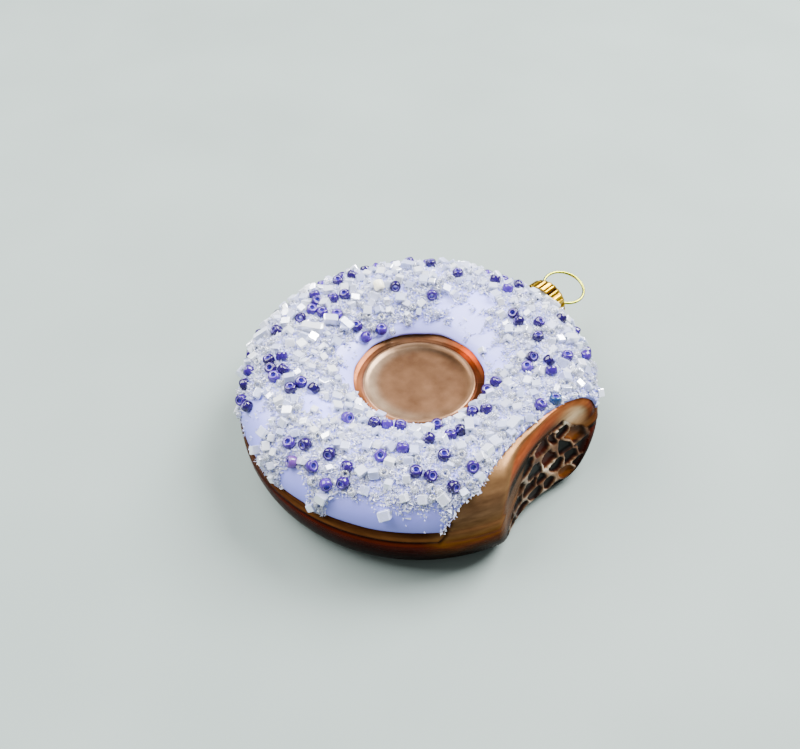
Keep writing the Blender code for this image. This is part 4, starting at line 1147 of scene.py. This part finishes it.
def make_cap():
    draw = random.Random(3)
    flutes = [(draw.uniform(0.55, 1.15), draw.uniform(-0.2, 0.2)) for flute in range(CAP_FLUTES)]
    outer = points_from((0.0, CAP_TOP), (
        (0.02, 0.3), (1.5, 0.27), (3.4, 0.05), (4.6, -0.1), (5.4, -0.3), (5.95, -0.65),
        (6.25, -1.1), (6.3, -1.7)))
    outer += [(CAP_RADIUS + 0.1 * MM * share, CAP_TOP - 1.7 * MM - 3.5 * MM * share)
              for share in np.linspace(0.1, 1.0, 9)]
    inner = [(CAP_RADIUS - 0.35 * MM, CAP_SKIRT_EDGE), (CAP_RADIUS - 0.4 * MM, CAP_TOP - 2 * MM),
             (CAP_RADIUS - 1.2 * MM, CAP_TOP - 0.8 * MM), (0.02 * MM, CAP_TOP - 0.5 * MM)]
    section = outer + inner
    points, grooves = [], []
    for column in range(CAP_COLUMNS):
        angle = 2 * math.pi * column / CAP_COLUMNS
        from_slot = (math.degrees(angle) - CAP_SLOT_TURN + 180) % 360 - 180
        slot = math.exp(-(from_slot / CAP_SLOT_WIDTH) ** 2)
        place = angle * CAP_FLUTES / (2 * math.pi)
        strength, shift = flutes[int(place) % CAP_FLUTES]
        wave = (0.5 - 0.5 * math.cos(2 * math.pi * place)) ** 0.8 * strength
        for index, (radius, along) in enumerate(section):
            fade = max(0.0, min(1.0, (CAP_TOP - 0.25 * MM - along) / (1.2 * MM)))
            crinkle = 1 + shift * math.sin(along / (0.6 * MM) + 5 * shift)
            deep = fade * FLUTE_DEPTH * wave * crinkle * min(1.0, radius / (5 * MM))
            deep += slot * CAP_SLOT_DEPTH * fade * (index < len(outer))
            if along < CAP_SKIRT_EDGE + 0.3 * MM:
                along += PINKING * wave
            ring = radius - deep
            points.append((ring * math.sin(angle), along, CREASE_HEIGHT + ring * math.cos(angle)))
            grooves.append(min(1.0, 0.8 * wave * fade + 1.5 * slot * fade))
    faces = grid_faces(CAP_COLUMNS, len(section), True)
    # Lacquered brass: a warm gold mirror, brown down in the flutes and near black in the open seam
    # as painted shade. Pressing left it crinkled, every 0.9 mm or so
    material, tree, shader = new_material("lacquered_brass", Metallic=1.0, Roughness=0.25)
    tint = colour_ramp(tree, ((0.0, "#cca40a"), (0.45, "#946e04"), (0.8, "#4c3202"),
                              (0.97, "#2c1a01"), (1.0, "#0a0401")), stored(tree, "groove"))
    roughen(tree, shader, clouds(tree, 0.9 * MM, 3.0), 0.5, 0.15 * MM)
    tree.links.new(tint.outputs["Color"], shader.inputs["Base Color"])
    piece = add_piece("fluted_cap", points, faces, material)
    paint(piece, "groove", grooves)
    return piece


cap = make_cap()
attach(cap, "root")
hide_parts("hanger_cap")

# The wire: pale gold spring wire of 0.8 mm, bent to an open ring. Its two legs go down
# through the cap and spring open in the neck, which holds the cap on.
WIRE_RADIUS = 0.4 * MM
LOOP_RADIUS = 5.9 * MM
LOOP_CENTRE = 59.8 * MM
LEG_SPACING = 3.0 * MM
LEG_END = 51.7 * MM
LOOP_TILT = 12.0                    # degrees the loop leans towards the bite
LOOP_STEPS, WIRE_SIDES = 96, 16


def make_loop():
    opening = math.asin(LEG_SPACING / 2 / LOOP_RADIUS)
    start = -math.pi / 2 + opening
    route = [(LEG_SPACING / 2, LEG_END), (LEG_SPACING / 2, (LEG_END + CAP_TOP) / 2)]
    for step in range(LOOP_STEPS + 1):
        angle = start + (2 * math.pi - 2 * opening) * step / LOOP_STEPS
        route.append((LOOP_RADIUS * math.cos(angle), LOOP_CENTRE + LOOP_RADIUS * math.sin(angle)))
    route += [(-LEG_SPACING / 2, (LEG_END + CAP_TOP) / 2), (-LEG_SPACING / 2, LEG_END)]
    sides = WIRE_SIDES
    points = []
    lean = math.radians(LOOP_TILT)
    for index, (x, y) in enumerate(route):
        before = Vector(route[max(index - 1, 0)])
        after = Vector(route[min(index + 1, len(route) - 1)])
        along = (after - before).normalized()
        for side in range(sides):
            angle = 2 * math.pi * side / sides
            out = WIRE_RADIUS * math.cos(angle)
            across, lift = x - along.y * out, WIRE_RADIUS * math.sin(angle)
            points.append((across * math.cos(lean) + lift * math.sin(lean), y + along.x * out,
                           CREASE_HEIGHT - across * math.sin(lean) + lift * math.cos(lean)))
    faces = []
    for index in range(len(route) - 1):
        for side in range(sides):
            after = (side + 1) % sides
            faces.append((index * sides + side, index * sides + after,
                          (index + 1) * sides + after, (index + 1) * sides + side))
    faces.append(tuple(reversed(range(sides))))
    faces.append(tuple(range((len(route) - 1) * sides, len(route) * sides)))
    # Polished wire: greenish pale gold, darker towards its edges as painted shade, so one thin
    # bright line shows along it. Its draw marks are too fine to show and are drawn as patches of
    # 1.2 mm
    material, tree, shader = new_material("pale_gold_wire", Metallic=1.0, Roughness=0.22)
    tint = colour_ramp(tree, ((0.3, "#8a8a1c"), (0.7, "#bcbb40")), clouds(tree, 1.2 * MM))
    slant = add_node(tree, "ShaderNodeLayerWeight", {"Blend": 0.5}).outputs["Facing"]
    edge = colour_ramp(tree, ((0.3, "#ffffff"), (0.8, "#5a5a1a")), slant)
    edge_shaded_tint = multiplied(tree, tint.outputs["Color"], edge.outputs["Color"])
    tree.links.new(edge_shaded_tint, shader.inputs["Base Color"])
    return add_piece("wire_loop", points, faces, material)


loop = make_loop()
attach(loop, "root")
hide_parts("hanger_loop")

# The table, the light and the camera: a plain pale table top, a soft key light behind at the
# right, a larger and weaker one high at the left, and the photograph's own angle.
PHOTO_WIDTH, PHOTO_HEIGHT = 800, 749
TARGET_PIXEL = (418.9, 395.9)       # where the ring's middle lies in the photograph
CAMERA_DIRECTION, CAMERA_ELEVATION = 44.0, 46.4
CAMERA_DISTANCE = 228.6 * MM
LENS = 40.5
TABLE_REACH = 4.0                   # metres from the middle to each side


def make_table():
    mesh = bpy.data.meshes.new("table_top")
    side = TABLE_REACH
    mesh.from_pydata([(-side, -side, 0), (side, -side, 0), (side, side, 0), (-side, side, 0)], [],
                     [(0, 1, 2, 3)])
    # Matt paint: an even pale green-grey that takes soft shadows, clouded every 60 mm or so
    material, tree, shader = new_material("pale_table", Roughness=0.75)
    tint = colour_ramp(tree, ((0.3, "#76827e"), (0.7, "#7c8884")), clouds(tree, 60 * MM))
    tree.links.new(tint.outputs["Color"], shader.inputs["Base Color"])
    mesh.materials.append(material)
    table = bpy.data.objects.new("table_top", mesh)
    bpy.context.scene.collection.objects.link(table)
    return table


make_table()


def soft_light(name, place, size, power):
    """A square white softbox at a place, facing the ornament."""
    light = bpy.data.lights.new(name, "AREA")
    light.shape, light.size, light.energy = "SQUARE", size, power
    lamp = bpy.data.objects.new(name, light)
    lamp.location = place
    lamp.rotation_euler = (RING_AXIS - Vector(place)).to_track_quat("-Z", "Y").to_euler()
    bpy.context.scene.collection.objects.link(lamp)


camera_turn = math.radians(CAMERA_DIRECTION)
right = Vector((math.cos(camera_turn), math.sin(camera_turn), 0.0))
away = Vector((-math.sin(camera_turn), math.cos(camera_turn), 0.0))
up = Vector((0.0, 0.0, 1.0))
soft_light("key", RING_AXIS + 0.45 * right + 0.3 * away + 0.65 * up, size=0.5, power=34.0)
soft_light("overhead", RING_AXIS - 0.45 * right + 0.15 * away + 0.7 * up, size=0.7, power=25.0)
world = bpy.data.worlds.new("studio")
world.use_nodes = True
world.node_tree.nodes["Background"].inputs["Color"].default_value = linear("#e4e9ea")
world.node_tree.nodes["Background"].inputs["Strength"].default_value = 0.6
bpy.context.scene.world = world

lens = bpy.data.cameras.new("camera")
lens.lens, lens.sensor_width, lens.clip_start = LENS, 36.0, 0.01
lens.shift_x = -(TARGET_PIXEL[0] - PHOTO_WIDTH / 2) / PHOTO_WIDTH
lens.shift_y = (TARGET_PIXEL[1] - PHOTO_HEIGHT / 2) / PHOTO_WIDTH
camera = bpy.data.objects.new("camera", lens)
elevation = math.radians(CAMERA_ELEVATION)
back = -math.cos(elevation) * away + math.sin(elevation) * up
camera.location = RING_AXIS + CREASE_HEIGHT * up + CAMERA_DISTANCE * back
camera.rotation_euler = back.to_track_quat("Z", "Y").to_euler()
bpy.context.scene.collection.objects.link(camera)
bpy.context.scene.camera = camera
